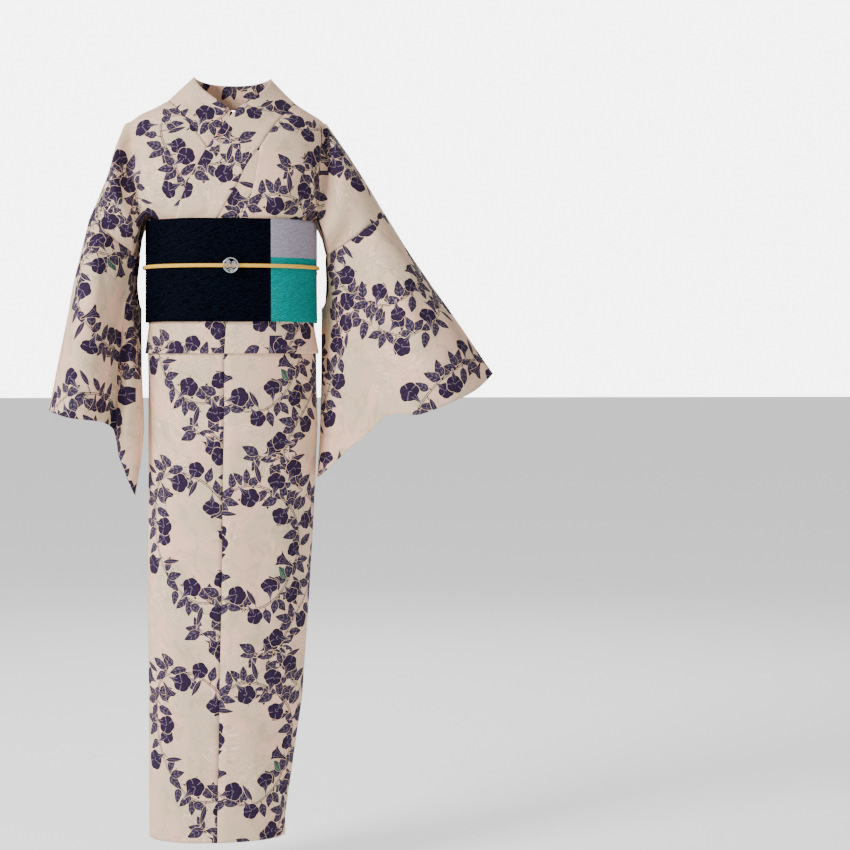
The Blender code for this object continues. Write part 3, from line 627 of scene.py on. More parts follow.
class Face(Enum):
    """Which side of the robe a crease is on."""

    FRONT = -1
    BACK = 1


@dataclass(frozen=True)
class Crease:
    """A soft fold in the cloth, placed by its ends as seen from the front or the back, in millimetres.

    A positive height is a ridge and a negative one a trough. Bow bends it sideways at its middle.
    """

    face: Face
    start: Pair
    end: Pair
    height: float
    width: float
    bow: float

    def lift_of(self, points: Array, normals: Array) -> Array:
        """How far each point moves along its outward normal.

        Args:
            points: Points of a panel, any shape ending in 3.
            normals: Their outward normals.

        Returns:
            The moves in metres.
        """
        a, b = np.array(self.start) * MM, np.array(self.end) * MM
        along = b - a
        length = np.linalg.norm(along)
        along = along / length
        flat = points[..., (0, 2)] - a
        s = flat @ along / length
        inside = np.clip(s, 0.0, 1.0)
        bend = self.bow * MM * 4 * inside * (1 - inside)
        across = flat @ np.array((-along[1], along[0])) - bend
        beyond = (s - inside) * length
        near = np.exp(-(across ** 2 + 2 * beyond ** 2) / (self.width * MM) ** 2)
        taper = 0.25 + 0.75 * np.sin(np.pi * inside) ** 0.7
        facing = np.clip(normals[..., 1] * self.face.value * 2.5 + 0.4, 0.0, 1.0)
        return self.height * MM * near * taper * facing


def creases(face: Face, rows: Sequence[tuple[float, ...]]) -> list[Crease]:
    """Creases on one face, from rows of: start x and z, end x and z, height, width, bow."""
    return [Crease(face, (x1, z1), (x2, z2), *rest) for x1, z1, x2, z2, *rest in rows]


BODY_CREASES = creases(Face.FRONT, [
    # chest, below the collar and beside the belt
    (118, -80, 70, -196, 3.3, 9, 8),
    (96, -150, 50, -200, 2.4, 7, -4),
    (64, -140, 40, -200, -2.2, 6, 3),
    (-118, -86, -78, -198, 3.3, 9, -6),
    (-96, -120, -62, -200, -2.4, 7, -4),
    (-72, -165, -112, -200, 2.2, 7, 0),
    # waist tuck and skirt
    (-128, -384, -60, -398, -1.5, 7, 3),
    (40, -386, 110, -410, 1.8, 8, 4),
    (90, -384, 122, -428, -1.8, 7, 0),
    (-118, -440, -60, -640, 2.4, 16, 10),
    (-90, -700, -40, -980, -2.1, 18, -8),
    (70, -440, 105, -700, -2.4, 16, -8),
    (100, -520, 52, -900, 2.2, 20, 10),
    (30, -700, 60, -1100, -1.8, 18, 6),
    (-100, -900, -60, -1200, 2.4, 16, 0),
    (20, -1040, 38, -1215, 2.7, 14, 3),
]) + creases(Face.BACK, [
    (90, -70, 40, -200, -2.7, 9, 6),
    (-92, -66, -52, -200, -3.0, 10, -6),
    (60, -120, 96, -200, 2.7, 8, 3),
    (-70, -130, -104, -200, 2.5, 8, -3),
    (-100, -440, -50, -700, 2.7, 18, 8),
    (100, -440, 60, -760, -2.4, 18, 8),
    (40, -800, 80, -1200, 2.4, 18, 6),
    (-60, -760, -80, -1180, -2.4, 18, -6),
])

SLEEVE_CREASES = creases(Face.FRONT, [
    (200, -205, 300, -300, 4.1, 12, 10),
    (215, -260, 255, -420, -4.4, 13, -8),
    (180, -290, 215, -500, 4.4, 12, 6),
    (300, -320, 330, -470, -4.1, 15, 6),
    (350, -350, 390, -470, 3.4, 14, -4),
    (240, -440, 300, -520, 5.1, 12, 5),
    (-190, -215, -262, -330, 3.7, 12, -8),
    (-205, -260, -232, -430, -4.4, 11, 6),
    (-240, -330, -262, -520, 4.1, 12, -6),
    (-270, -350, -288, -515, -3.1, 10, 4),
]) + creases(Face.BACK, [
    (210, -220, 300, -400, -4.1, 14, 8),
    (240, -330, 270, -500, 4.4, 14, -6),
    (320, -330, 370, -450, -3.4, 13, 5),
    (-200, -220, -250, -400, -4.1, 13, -8),
    (-230, -320, -250, -520, 4.1, 12, 6),
])

# Slow waves in hanging cloth: height in millimetres, waves per metre across and down
SLOW_WAVES = ((0.9, 9, 5), (0.35, 28, 22))


def cloth_noise(points: Array) -> Array:
    """Slow unevenness of hanging cloth, the same for layers that lie together."""
    moves = [sum(height * noise.noise(Vector((x * across, y * across, z * down)))
                 for height, across, down in SLOW_WAVES) for x, y, z in points.reshape(-1, 3)]
    return np.array(moves).reshape(points.shape[:-1]) * MM


# ---- the vine print

class Kind(IntEnum):
    """Kinds of printed motif. The numbers are what the material tells them apart by."""

    BLOOM = 1
    TRUMPET = 2
    LEAF = 3
    BUD = 4
    CURL = 5


MOTIF_HALF_HEIGHT = {Kind.BLOOM: 0.92, Kind.TRUMPET: 0.85, Kind.LEAF: 0.62, Kind.BUD: 0.36, Kind.CURL: 0.45}
MOTIF_SIZE = {Kind.BLOOM: 20.0, Kind.TRUMPET: 18.5, Kind.LEAF: 14.0, Kind.BUD: 16.0, Kind.CURL: 8.0}
MOTIF_RANK = {Kind.BLOOM: 0, Kind.TRUMPET: 1, Kind.LEAF: 3, Kind.BUD: 2, Kind.CURL: 4}


@dataclass(frozen=True)
class Motif:
    """One printed motif, in the cloth's flat sizes: place, direction, half length and a chance number."""

    kind: Kind
    u: float
    v: float
    angle: float
    size: float
    chance: float


@dataclass(frozen=True)
class Stem:
    """One stretch of stem: its ends, its bow in metres, and whether it is a main vine."""

    start: Pair
    end: Pair
    bow: float
    main: bool


@dataclass
class VinePrint:
    """The repeat of the print: a wreath and a trailing vine, both strung with blooms and leaves."""

    width: float = 0.310
    height: float = 0.331
    spacing: float = 0.0120
    seed: int = 11
    motifs: list[Motif] = field(default_factory=list)
    stems: list[Stem] = field(default_factory=list)

    # millimetres across and down the repeat
    WREATH = [(40, 125), (44, 74), (78, 32), (120, 20), (160, 42), (186, 84), (200, 128), (190, 178),
              (152, 216), (108, 228), (68, 208), (45, 168)]
    TRAIL = [(206, -112), (184, -92), (168, -52), (180, -16), (206, 22), (236, 62), (262, 112), (258, 166),
             (232, 200), (206, 219)]
    SPRIG = [(168, -52), (142, -62), (118, -46)]
    # what grows at each step along a vine: kind and side, over and over
    ORDER = ["bloom+", "trio-", "leaf+", "bloom-", "trio+", "bud-", "trumpet+", "trio-", "bloom+", "leaf-",
             "curl+", "trio+", "bloom-", "bud+", "leaf-"]
    # stalks in millimetres; a bloom's is drawn from a range and may lie back over the vine
    STALK = {Kind.LEAF: 6.0, Kind.BUD: 7.0, Kind.CURL: 4.0, Kind.TRUMPET: 1.0}
    BLOOM_STALK = (-12.0, 6.0)
    TRIO_STALK = 4.0
    TRIO_TURN = 0.95
    TRIO_SWAY = 0.22
    SHORTEST_DRAWN = 3.5
    STALK_OVERLAP = 3
    STALK_BOW = 0.5 * MM

    def __post_init__(self) -> None:
        """String the motifs along the repeat's vines."""
        self.chance = np.random.default_rng(self.seed)
        self.string_along(table(self.WREATH), closed=True)
        self.string_along(table(self.TRAIL), closed=False)
        self.string_along(table(self.SPRIG), closed=False)
        self.motifs.sort(key=lambda motif: MOTIF_RANK[motif.kind])

    def string_along(self, points: Array, closed: bool) -> None:
        """Grow stems and motifs along one vine.

        Args:
            points: The vine's control points, across and down.
            closed: Whether it is a ring.
        """
        count = len(points) if closed else len(points) - 1
        path = np.array([loop_spline(points, t) if closed else spline(points, t)
                         for t in np.linspace(0, count, 40 * count + 1)])
        travelled = np.concatenate([[0], np.cumsum(np.linalg.norm(np.diff(path, axis=0), axis=1))])
        places = max(2, int(round(travelled[-1] / self.spacing)))
        nodes = [np.array([np.interp(s, travelled, path[:, k]) for k in (0, 1)])
                 for s in np.linspace(0, travelled[-1], places + 1)]
        for i, (a, b) in enumerate(zip(nodes, nodes[1:])):
            way = (b - a) / np.linalg.norm(b - a)
            if i % 2 == 0 and i + 2 < len(nodes):
                c = nodes[i + 2]
                middle = b - (a + c) / 2
                across = np.array((-(c - a)[1], (c - a)[0])) / np.linalg.norm(c - a)
                self.stems.append(Stem(tuple(a), tuple(c), float(middle @ across), True))
            self.grow(self.ORDER[i % len(self.ORDER)], a, way)

    def grow(self, what: str, place: Array, way: Array) -> None:
        """Grow one entry of ORDER.

        Args:
            what: The entry, a kind with its side.
            place: Where on the vine.
            way: The vine's direction there.
        """
        name, hand = what[:-1], 1 if what[-1] == "+" else -1
        side = np.array((-way[1], way[0])) * hand
        out = side + way * self.chance.uniform(-0.5, 0.7)
        out = out / np.linalg.norm(out)
        heading = math.atan2(out[1], out[0])
        if name == "trio":
            for turn in (-self.TRIO_TURN, 0.0, self.TRIO_TURN):
                angle = heading + turn + self.chance.uniform(-self.TRIO_SWAY, self.TRIO_SWAY)
                self.put(Kind.LEAF, place, angle, self.TRIO_STALK)
            return
        kind = Kind[name.upper()]
        if kind is Kind.LEAF:
            self.put(kind, place, heading, self.STALK[kind])
            return
        drawn = self.chance.uniform(*self.BLOOM_STALK)  # drawn for all these kinds, used by blooms
        self.put(kind, place, heading, self.STALK.get(kind, drawn))

    def put(self, kind: Kind, place: Array, angle: float, stalk: float) -> None:
        """Put one motif at the end of its stalk.

        Args:
            kind: Its kind.
            place: The point on the vine that it grows from.
            angle: Its direction.
            stalk: The stalk's length in millimetres.
        """
        size = MOTIF_SIZE[kind] * MM * self.chance.uniform(0.86, 1.1)
        toward = np.array((math.cos(angle), math.sin(angle)))
        centre = place + toward * (size + stalk * MM)
        self.motifs.append(Motif(kind, centre[0], centre[1], angle, size, self.chance.uniform(0.08, 0.92)))
        if stalk > self.SHORTEST_DRAWN:
            tip = place + toward * (stalk + self.STALK_OVERLAP) * MM
            self.stems.append(Stem(tuple(place), tuple(tip), self.STALK_BOW, False))


# ---- cloth panels

MOTIF_SLOTS = 4  # motifs that may overlap on one quad
STEM_SLOTS = 5
STEM_UNIT = 0.01  # stems are measured across in centimetres
MAIN_STEM = 20.0  # added to a main vine's number, which tells it from a twig
BOW_ZERO = 5.0  # added to a stem's bow, so that an empty slot's 0 is no stem
MOTIF_HALF_LENGTH = 1.12  # how much of the cloth round a motif gets its coordinates
STEM_END_ROOM = 0.003
STEM_SIDE_ROOM = 0.0055
FAR_FOLD = 1.6  # times the reach: cloth further along than this is another fold
OUTSIDE = 9.0  # a coordinate beyond every motif


class PanelMesh:
    """A cloth panel as a grid: its points, its flat cloth sizes and the print that falls on it."""

    def __init__(self, name: str, rows: Sequence[Array], u_along_rows: bool = False) -> None:
        """Measure the grid."""
        self.name = name
        self.points = np.array(rows)
        self.u_along_rows = u_along_rows
        self.measure()

    def measure(self) -> None:
        """Work out the cloth sizes and three directions at each point."""
        along_columns = np.linalg.norm(np.diff(self.points, axis=1), axis=2)
        along_rows = np.linalg.norm(np.diff(self.points, axis=0), axis=2)
        rows, columns = self.points.shape[:2]
        across = np.concatenate([np.zeros((rows, 1)), np.cumsum(along_columns, axis=1)], axis=1)
        down = np.concatenate([np.zeros((1, columns)), np.cumsum(along_rows, axis=0)], axis=0)
        across_way = np.gradient(self.points, axis=1)
        down_way = np.gradient(self.points, axis=0)
        if self.u_along_rows:
            middle = across.shape[1] // 2
            across = across - across[:, middle:middle + 1]
            across, down, across_way, down_way = down, across, down_way, across_way
        self.u, self.v = across, down
        self.tangent = unit(across_way)
        self.normal = unit(np.cross(across_way, down_way))
        self.bitangent = np.cross(self.normal, self.tangent)
        turned = np.sum(self.bitangent * down_way, axis=2) < 0
        self.bitangent[turned] *= -1
        self.downward = unit(down_way)

    def outward(self, centre: Callable[[Array], Array]) -> Array:
        """Normals that point away from the middle of what the panel goes round."""
        away = self.points - centre(self.points)
        sign = np.sign(np.sum(self.normal * away, axis=2))
        sign[sign == 0] = 1
        return self.normal * sign[..., None]

    def soften(self, creases: Sequence[Crease], centre: Callable[[Array], Array]) -> None:
        """Add the creases and the slow unevenness of hanging cloth.

        Args:
            creases: The folds to add.
            centre: Gives, for each point, the middle of what the panel goes round.
        """
        outward = self.outward(centre)
        moves = cloth_noise(self.points)
        for crease in creases:
            moves = moves + crease.lift_of(self.points, outward)
        self.points = self.points + outward * moves[..., None]

    def corners(self, values: Array) -> Array:
        """Values at the four corners of each face."""
        return np.stack([values[:-1, :-1], values[:-1, 1:], values[1:, 1:], values[1:, :-1]], axis=2)

    def print_vines(self, pattern: VinePrint, shift: Pair, flip: bool) -> list[Array]:
        """Lay the repeat over the cloth.

        Args:
            pattern: The print's repeat.
            shift: Where the repeat starts, across and down, in metres.
            flip: Whether the cloth runs the other way round.

        Returns:
            One array of face corners for each motif slot, then one for each stem slot.
        """
        shape = (self.points.shape[0] - 1, self.points.shape[1] - 1)
        motif_slots = [np.zeros(shape + (4, 3)) for _ in range(MOTIF_SLOTS)]
        stem_slots = [np.zeros(shape + (4, 3)) for _ in range(STEM_SLOTS)]
        motif_count, stem_count = np.zeros(shape, dtype=int), np.zeros(shape, dtype=int)
        way = -1 if flip else 1
        for ou, ov in self.tiles(pattern, shift):
            for motif in pattern.motifs:
                spot = (ou + way * motif.u, ov + motif.v)
                angle = math.pi - motif.angle if flip else motif.angle
                found = self.local(spot, angle, motif.size, 1.5 * motif.size)
                if found is None:
                    continue
                window, x, y = found
                local = np.stack([x, y, np.full_like(x, motif.kind + motif.chance)], axis=-1)
                near = (np.abs(x) < MOTIF_HALF_LENGTH) & (np.abs(y) < MOTIF_HALF_HEIGHT[motif.kind])
                self.fill(motif_slots, motif_count, window, local, near)
            for stem in pattern.stems:
                start = np.array((ou + way * stem.start[0], ov + stem.start[1]))
                end = np.array((ou + way * stem.end[0], ov + stem.end[1]))
                found = self.between(start, end)
                if found is None:
                    continue
                window, x, y, half = found
                bow = way * stem.bow / STEM_UNIT + BOW_ZERO + (MAIN_STEM if stem.main else 0.0)
                local = np.stack([x / half, y / STEM_UNIT, np.full_like(x, bow)], axis=-1)
                near = (np.abs(x) < half + STEM_END_ROOM) & (np.abs(y) < STEM_SIDE_ROOM + abs(stem.bow))
                self.fill(stem_slots, stem_count, window, local, near)
        return motif_slots + stem_slots

    def tiles(self, pattern: VinePrint, shift: Pair) -> list[Pair]:
        """Starting points of the repeats that the panel's cloth touches.

        Args:
            pattern: The print's repeat.
            shift: Where the first one starts, across and down.

        Returns:
            The starting points in cloth sizes.
        """
        spans = []
        for sizes, start, step in ((self.u, shift[0], pattern.width), (self.v, shift[1], pattern.height)):
            first = math.floor((sizes.min() - start) / step) - 1
            last = math.ceil((sizes.max() - start) / step) + 1
            spans.append([start + k * step for k in range(first, last + 1)])
        return [(u, v) for u in spans[0] for v in spans[1]]

    def local(self, spot: Pair, angle: float, size: float, reach: float
              ) -> tuple[tuple[slice, slice], Array, Array] | None:
        """Coordinates of nearby points as a motif at a spot on the cloth sees them.

        Args:
            spot: The motif's middle in cloth sizes.
            angle: Its direction on the cloth.
            size: Its half length, which becomes 1.
            reach: How far away on the cloth points are still wanted.

        Returns:
            The window of the grid, and the two coordinates there, or None where nothing is near.
        """
        if not self.reaches(spot, reach):
            return None
        middle, tangent, bitangent, away = self.locate(spot)
        near = away < reach ** 2
        if not near.any():
            return None
        window = self.window(near)
        offset = self.points[window] - middle
        a, b = offset @ tangent, offset @ bitangent
        x = (a * math.cos(angle) + b * math.sin(angle)) / size
        y = (-a * math.sin(angle) + b * math.cos(angle)) / size
        x[away[window] > (FAR_FOLD * reach) ** 2] = OUTSIDE
        return window, x, y

    def between(self, start: Array, end: Array
                ) -> tuple[tuple[slice, slice], Array, Array, float] | None:
        """Coordinates of nearby points as a stem between two spots on the cloth sees them.

        Args:
            start: One end in cloth sizes.
            end: The other end.

        Returns:
            The window of the grid, the two coordinates there and half the stem's length, in metres, or
            None where nothing is near.
        """
        middle = (start + end) / 2
        reach = 0.8 * float(np.linalg.norm(end - start)) + 0.007
        if not self.reaches(middle, reach):
            return None
        _, tangent, bitangent, away = self.locate(middle)
        near = away < reach ** 2
        if not near.any():
            return None
        first, last = self.locate(start)[0], self.locate(end)[0]
        window = self.window(near)
        a, b = (last - first) @ tangent, (last - first) @ bitangent
        length = math.hypot(a, b)
        along = (a * tangent + b * bitangent) / length
        across = (a * bitangent - b * tangent) / length
        offset = self.points[window] - (first + last) / 2
        x = offset @ along
        x[away[window] > (FAR_FOLD * reach) ** 2] = OUTSIDE
        return window, x, offset @ across, length / 2

    def reaches(self, spot: Sequence[float], reach: float) -> bool:
        """Whether a spot in cloth sizes lies on the panel or within reach of it."""
        return bool(self.u.min() - reach < spot[0] < self.u.max() + reach
                    and self.v.min() - reach < spot[1] < self.v.max() + reach)

    def locate(self, spot: Sequence[float]) -> tuple[Array, Array, Array, Array]:
        """Find a spot on the cloth.

        Args:
            spot: The spot in cloth sizes.

        Returns:
            Its point, its two directions, and the squared distance of every grid point in cloth sizes.
        """
        away = (self.u - spot[0]) ** 2 + (self.v - spot[1]) ** 2
        i, j = np.unravel_index(int(np.argmin(away)), away.shape)
        point = (self.points[i, j] + (spot[0] - self.u[i, j]) * self.tangent[i, j]
                 + (spot[1] - self.v[i, j]) * self.downward[i, j])
        return point, self.tangent[i, j], self.bitangent[i, j], away

    def window(self, near: Array) -> tuple[slice, slice]:
        """The part of the grid round some of its points."""
        rows, columns = np.where(near)
        return (slice(max(rows.min() - 1, 0), rows.max() + 2),
                slice(max(columns.min() - 1, 0), columns.max() + 2))

    def fill(self, slots: list[Array], count: Array, window: tuple[slice, slice], local: Array,
             near: Array) -> None:
        """Put one motif's coordinates in the first free slot of each quad that it touches.

        Args:
            slots: The slots, changed in place.
            count: How many are taken on each quad, changed in place.
            window: The part of the grid that the motif is on.
            local: The motif's coordinates and number at each of its points.
            near: Whether each of them is on the motif.
        """
        touched = near[:-1, :-1] | near[1:, :-1] | near[:-1, 1:] | near[1:, 1:]
        rows, columns = np.where(touched)
        if not len(rows):
            return
        at_rows, at_columns = rows + window[0].start, columns + window[1].start
        values = self.corners(local)[rows, columns]
        for k, slot in enumerate(slots):
            free = count[at_rows, at_columns] == k
            slot[at_rows[free], at_columns[free]] = values[free]
        count[at_rows, at_columns] += 1

    def build(self, wall: float, material: Material, layers: Sequence[Array] = ()
              ) -> Object:
        """Make the mesh object.

        Args:
            wall: The cloth's thickness.
            material: Its finish.
            layers: Face corner values from print_vines.

        Returns:
            The new object.
        """
        rows, columns = self.points.shape[:2]
        index = np.arange(rows * columns).reshape(rows, columns)
        faces = self.corners(index).reshape(-1, 4)
        mesh = bpy.data.meshes.new(self.name)
        mesh.from_pydata(self.points.reshape(-1, 3).tolist(), [], faces.tolist())
        lay_sizes(mesh, np.stack([self.corners(self.u), self.corners(self.v)], axis=-1))
        for k, layer in enumerate(layers):
            lay_vectors(mesh, f"motif_{k}" if k < MOTIF_SLOTS else f"stem_{k - MOTIF_SLOTS}", layer)
        mesh.materials.append(material)
        mesh.shade_smooth()
        piece = in_scene(self.name, mesh)
        solidify = piece.modifiers.new("wall", "SOLIDIFY")
        solidify.thickness = wall
        solidify.offset = 0.0
        return piece


def unit(vectors: Array) -> Array:
    """The same directions at length 1."""
    return vectors / np.maximum(np.linalg.norm(vectors, axis=-1, keepdims=True), 1e-12)


def in_scene(name: str, data: ID) -> Object:
    """Put a mesh, a curve, a light or a camera in the scene as an object."""
    thing = bpy.data.objects.new(name, data)
    bpy.context.scene.collection.objects.link(thing)
    return thing


def lay_sizes(mesh: Mesh, sizes: Array) -> None:
    """Give each face corner its place on the flat cloth."""
    mesh.uv_layers.new(name="cloth").data.foreach_set("uv", sizes.astype(np.float32).ravel())


def lay_vectors(mesh: Mesh, name: str, vectors: Array) -> None:
    """Give each face corner a vector for the finish to read."""
    layer = mesh.attributes.new(name, "FLOAT_VECTOR", "CORNER")
    layer.data.foreach_set("vector", vectors.astype(np.float32).ravel())


# ---- node building

class Field:
    """A number that varies over a surface, written as arithmetic and built as math nodes."""

    def __init__(self, tree: NodeTree, socket: "NodeSocket | float") -> None:
        """Wrap a socket or a plain number."""
        self.tree = tree
        self.socket = socket

    def math(self, operation: str, *others: "Field | float", clamp: bool = False) -> "Field":
        """Apply one of the Math node's operations.

        Args:
            operation: The node's operation.
            others: The other inputs, fields or numbers.
            clamp: Whether the result is kept between 0 and 1.

        Returns:
            The result as a new field.
        """
        node = self.tree.nodes.new("ShaderNodeMath")
        node.operation = operation
        node.use_clamp = clamp
        for k, value in enumerate((self, *others)):
            source = value.socket if isinstance(value, Field) else value
            if isinstance(source, (int, float)):
                node.inputs[k].default_value = float(source)
            else:
                self.tree.links.new(source, node.inputs[k])
        return Field(self.tree, node.outputs[0])

    def __add__(self, other: "Field | float") -> "Field":
        """Sum."""
        return self.math("ADD", other)

    def __sub__(self, other: "Field | float") -> "Field":
        """Difference."""
        return self.math("SUBTRACT", other)

    def __mul__(self, other: "Field | float") -> "Field":
        """Product."""
        return self.math("MULTIPLY", other)

    def __truediv__(self, other: "Field | float") -> "Field":
        """Quotient."""
        return self.math("DIVIDE", other)

    def __abs__(self) -> "Field":
        """Size without its sign."""
        return self.math("ABSOLUTE")

    def minus_from(self, number: float) -> "Field":
        """The number less this field."""
        return Field(self.tree, float(number)) - self

    def lower(self, other: "Field | float") -> "Field":
        """The lower of the two."""
        return self.math("MINIMUM", other)

    def higher(self, other: "Field | float") -> "Field":
        """The higher of the two."""
        return self.math("MAXIMUM", other)

    def power(self, exponent: float) -> "Field":
        """This field, not under 0, to a power."""
        return self.higher(0.0).math("POWER", exponent)

    def above(self, limit: "Field | float") -> "Field":
        """1 where this field is over the limit, else 0."""
        return self.math("GREATER_THAN", limit)

    def below(self, limit: "Field | float") -> "Field":
        """1 where this field is under the limit, else 0."""
        return self.math("LESS_THAN", limit)

    def ramp(self, low: float, high: float) -> "Field":
        """A smooth rise.

        Args:
            low: Where it starts from 0.
            high: Where it reaches 1.

        Returns:
            The result as a new field.
        """
        node = self.tree.nodes.new("ShaderNodeMapRange")
        node.interpolation_type = "SMOOTHSTEP"
        self.tree.links.new(self.socket, node.inputs["Value"])
        node.inputs["From Min"].default_value = low
        node.inputs["From Max"].default_value = high
        return Field(self.tree, node.outputs["Result"])


def noise_over(tree: NodeTree, place: NodeSocket, scale: float, detail: float = 2.0,
               distortion: float = 0.0) -> Field:
    """A noise over a surface.

    Args:
        tree: The node tree that it goes in.
        place: The coordinates that it reads.
        scale: Its scale.
        detail: How many finer noises lie on it.
        distortion: How far it is pulled about.

    Returns:
        The noise, from 0 to 1.
    """
    node = tree.nodes.new("ShaderNodeTexNoise")
    node.inputs["Scale"].default_value = scale
    node.inputs["Detail"].default_value = detail
    node.inputs["Distortion"].default_value = distortion
    tree.links.new(place, node.inputs["Vector"])
    return Field(tree, node.outputs["Fac"])


def parts_of(tree: NodeTree, vector: NodeSocket) -> list[Field]:
    """The three parts of a vector."""
    node = tree.nodes.new("ShaderNodeSeparateXYZ")
    tree.links.new(vector, node.inputs[0])
    return [Field(tree, out) for out in node.outputs]


class GroupMaker:
    """A shader node group with named inputs and outputs."""

    def __init__(self, name: str) -> None:
        """Make the empty group."""
        self.tree = bpy.data.node_groups.new(name, "ShaderNodeTree")
        self.entry = self.tree.nodes.new("NodeGroupInput")
        self.exit = self.tree.nodes.new("NodeGroupOutput")

    def takes_vector(self, name: str) -> NodeSocket:
        """Add an input vector and return the socket that it comes out of inside."""
        self.tree.interface.new_socket(name=name, in_out="INPUT", socket_type="NodeSocketVector")
        return self.entry.outputs[name]

    def takes_number(self, name: str) -> Field:
        """Add an input number."""
        self.tree.interface.new_socket(name=name, in_out="INPUT", socket_type="NodeSocketFloat")
        return Field(self.tree, self.entry.outputs[name])

    def gives(self, **outputs: Field) -> NodeTree:
        """Add the outputs."""
        for name, source in outputs.items():
            self.tree.interface.new_socket(name=name, in_out="OUTPUT", socket_type="NodeSocketFloat")
            self.tree.links.new(source.socket, self.exit.inputs[name])
        return self.tree


@dataclass
class MotifDrawing:
    """The kinds of motif, each drawn as a form that is over 0 inside it, with the bare lines in it.

    Along a motif x runs from -1 at its stalk to 1 at its tip, and y runs across it.
    """

    x: Field
    y: Field
    code: Field

    def __post_init__(self) -> None:
        """Take the motif's chance number out of its code."""
        self.chance = self.code.math("FRACT")
        self.side = abs(self.y)

    def is_a(self, kind: Kind) -> Field:
        """1 where the motif is of this kind."""
        return self.code.math("FLOOR").math("COMPARE", float(kind), 0.4)

    def bloom(self) -> tuple[Field, Field]:
        """A face with five soft corners, turned away more or less, on a funnel that narrows to its stalk.

        Returns:
            The form and its lines: streaks between the corners, a crescent and the line of the throat.
        """
        x, y, side, chance = self.x, self.y, self.side, self.chance
        face_x = (x - 0.24) * (chance * 0.45 + 1.0)
        far = (face_x * face_x + y * y).math("SQRT")
        turn = y.math("ARCTAN2", face_x)
        rib = abs((turn * 2.5 + chance * 6.0).math("COSINE"))
        rim = rib.power(0.8) * 0.10 + 0.69
        throat = (x + 1.0).power(1.5) * 0.40 + 0.05
        tube = (throat - side).lower(x + 1.05).lower(x.minus_from(0.3))
        streak = (far * 0.05 + 0.012 - far * rib * 0.4).above(0.0) * far.above(0.26) * far.below(0.66)
        broken = (turn * 1.5 + chance * 40.0).math("SINE").above(-0.35)
        eye_x = x - 0.02
        eye = (eye_x * eye_x + y * y * 1.6).math("SQRT")
        crescent = abs(eye - 0.20).below(0.036) * x.above(0.06)
        throat_line = abs(side - throat * 0.45).below(0.028) * x.below(-0.22)
        return (rim - far).higher(tube), (streak * broken).higher(crescent).higher(throat_line)

    def trumpet(self) -> tuple[Field, Field]:
        """The same flower from the side.

        Returns:
            The form and its lines: two folds, the middle line and the line of its mouth.
        """
        x, y, side = self.x, self.y, self.side
        flare = (x + 0.95).power(2.0) * 0.235 + 0.09
        lip = (y * 6.5 + self.chance * 5.0).math("SINE") * 0.09 + 0.74
        fold = abs(side / flare - 0.55) * flare
        lines = fold.below(0.026) * x.above(-0.1) + side.below(0.022) * x.above(-0.6) * x.below(0.35)
        mouth = abs(x - 0.50 + y * y * 0.55).below(0.026) * y.above(-0.2)
        return (flare - side).lower(lip - x).lower(x + 1.0), lines.higher(mouth)

    def leaf(self) -> tuple[Field, Field]:
        """A pointed leaf.

        Returns:
            The form and its side veins.
        """
        x, side = self.x, self.side
        swell = (x + 1.0).power(0.6) * x.minus_from(1.0).power(1.0) * 0.49
        lobe = (self.chance * 9.0 + x * 4.0).math("SINE") * 0.05 * x.minus_from(0.6).ramp(0.0, 0.5)
        veins = abs(((side * -0.85 + x + self.chance) * 1.9).math("FRACT") - 0.5)
        lines = veins.below(0.10) * side.above(0.05) * side.below(swell * 0.72) * x.below(0.5) * x.above(-0.75)
        return swell + lobe - side, lines

    def bud(self) -> tuple[Field, Field]:
        """A slender bud."""
        x = self.x
        slim = (x * x).minus_from(1.0).power(0.85) * (x * -0.06 + 0.25)
        line = abs(self.y - (x * 2.6 + self.chance * 3.0).math("SINE") * 0.09).below(0.028)
        return slim - self.side, line * 0.7

    def curl(self) -> Field:
        """A thin tendril that winds to and fro, with no lines in it."""
        sway = (self.x * 6.5 + self.chance * 6.0).math("SINE") * (self.x * 0.12 + 0.2)
        return (abs(self.y - sway) * -1.0 + 0.075).lower(abs(self.x).minus_from(0.95))


def motif_group() -> NodeTree:
    """One printed motif.

    Returns:
        A group that gives its shape, the bare rim round it, the bare lines in it, 0 at its dark edge and
        midrib, its chance number, and how far it takes the leaves' shade.
    """
    group = GroupMaker("Printed Motif")
    x, y, code = parts_of(group.tree, group.takes_vector("Motif"))
    drawing = MotifDrawing(x, y, code)
    bloom, bloom_lines = drawing.bloom()
    trumpet, trumpet_lines = drawing.trumpet()
    leaf, leaf_lines = drawing.leaf()
    bud, bud_lines = drawing.bud()
    forms = {Kind.BLOOM: bloom, Kind.TRUMPET: trumpet, Kind.LEAF: leaf, Kind.BUD: bud, Kind.CURL: drawing.curl()}
    inner = {Kind.BLOOM: bloom_lines, Kind.TRUMPET: trumpet_lines, Kind.LEAF: leaf_lines, Kind.BUD: bud_lines}
    shape, lines = x * 0.0 - 1.0, x * 0.0
    for kind, form in forms.items():
        shape = shape + (form + 1.0).lower(2.0).higher(-1.0) * drawing.is_a(kind)
    for kind, marks in inner.items():
        lines = lines + marks * drawing.is_a(kind)
    midrib = drawing.side.below(0.036) * drawing.is_a(Kind.LEAF)
    half = y.above(0.0) * 0.45 + 0.55  # one half of a leaf is lighter than the other
    leafy = drawing.is_a(Kind.LEAF) * half + drawing.is_a(Kind.BUD) * 0.35 + drawing.is_a(Kind.CURL)
    return group.gives(Shape=shape.above(0.0), Rim=shape.above(-0.04), Lines=lines,
                       Depth=shape.ramp(0.0, 0.13) * midrib.minus_from(1.0), Chance=drawing.chance, Leafy=leafy)


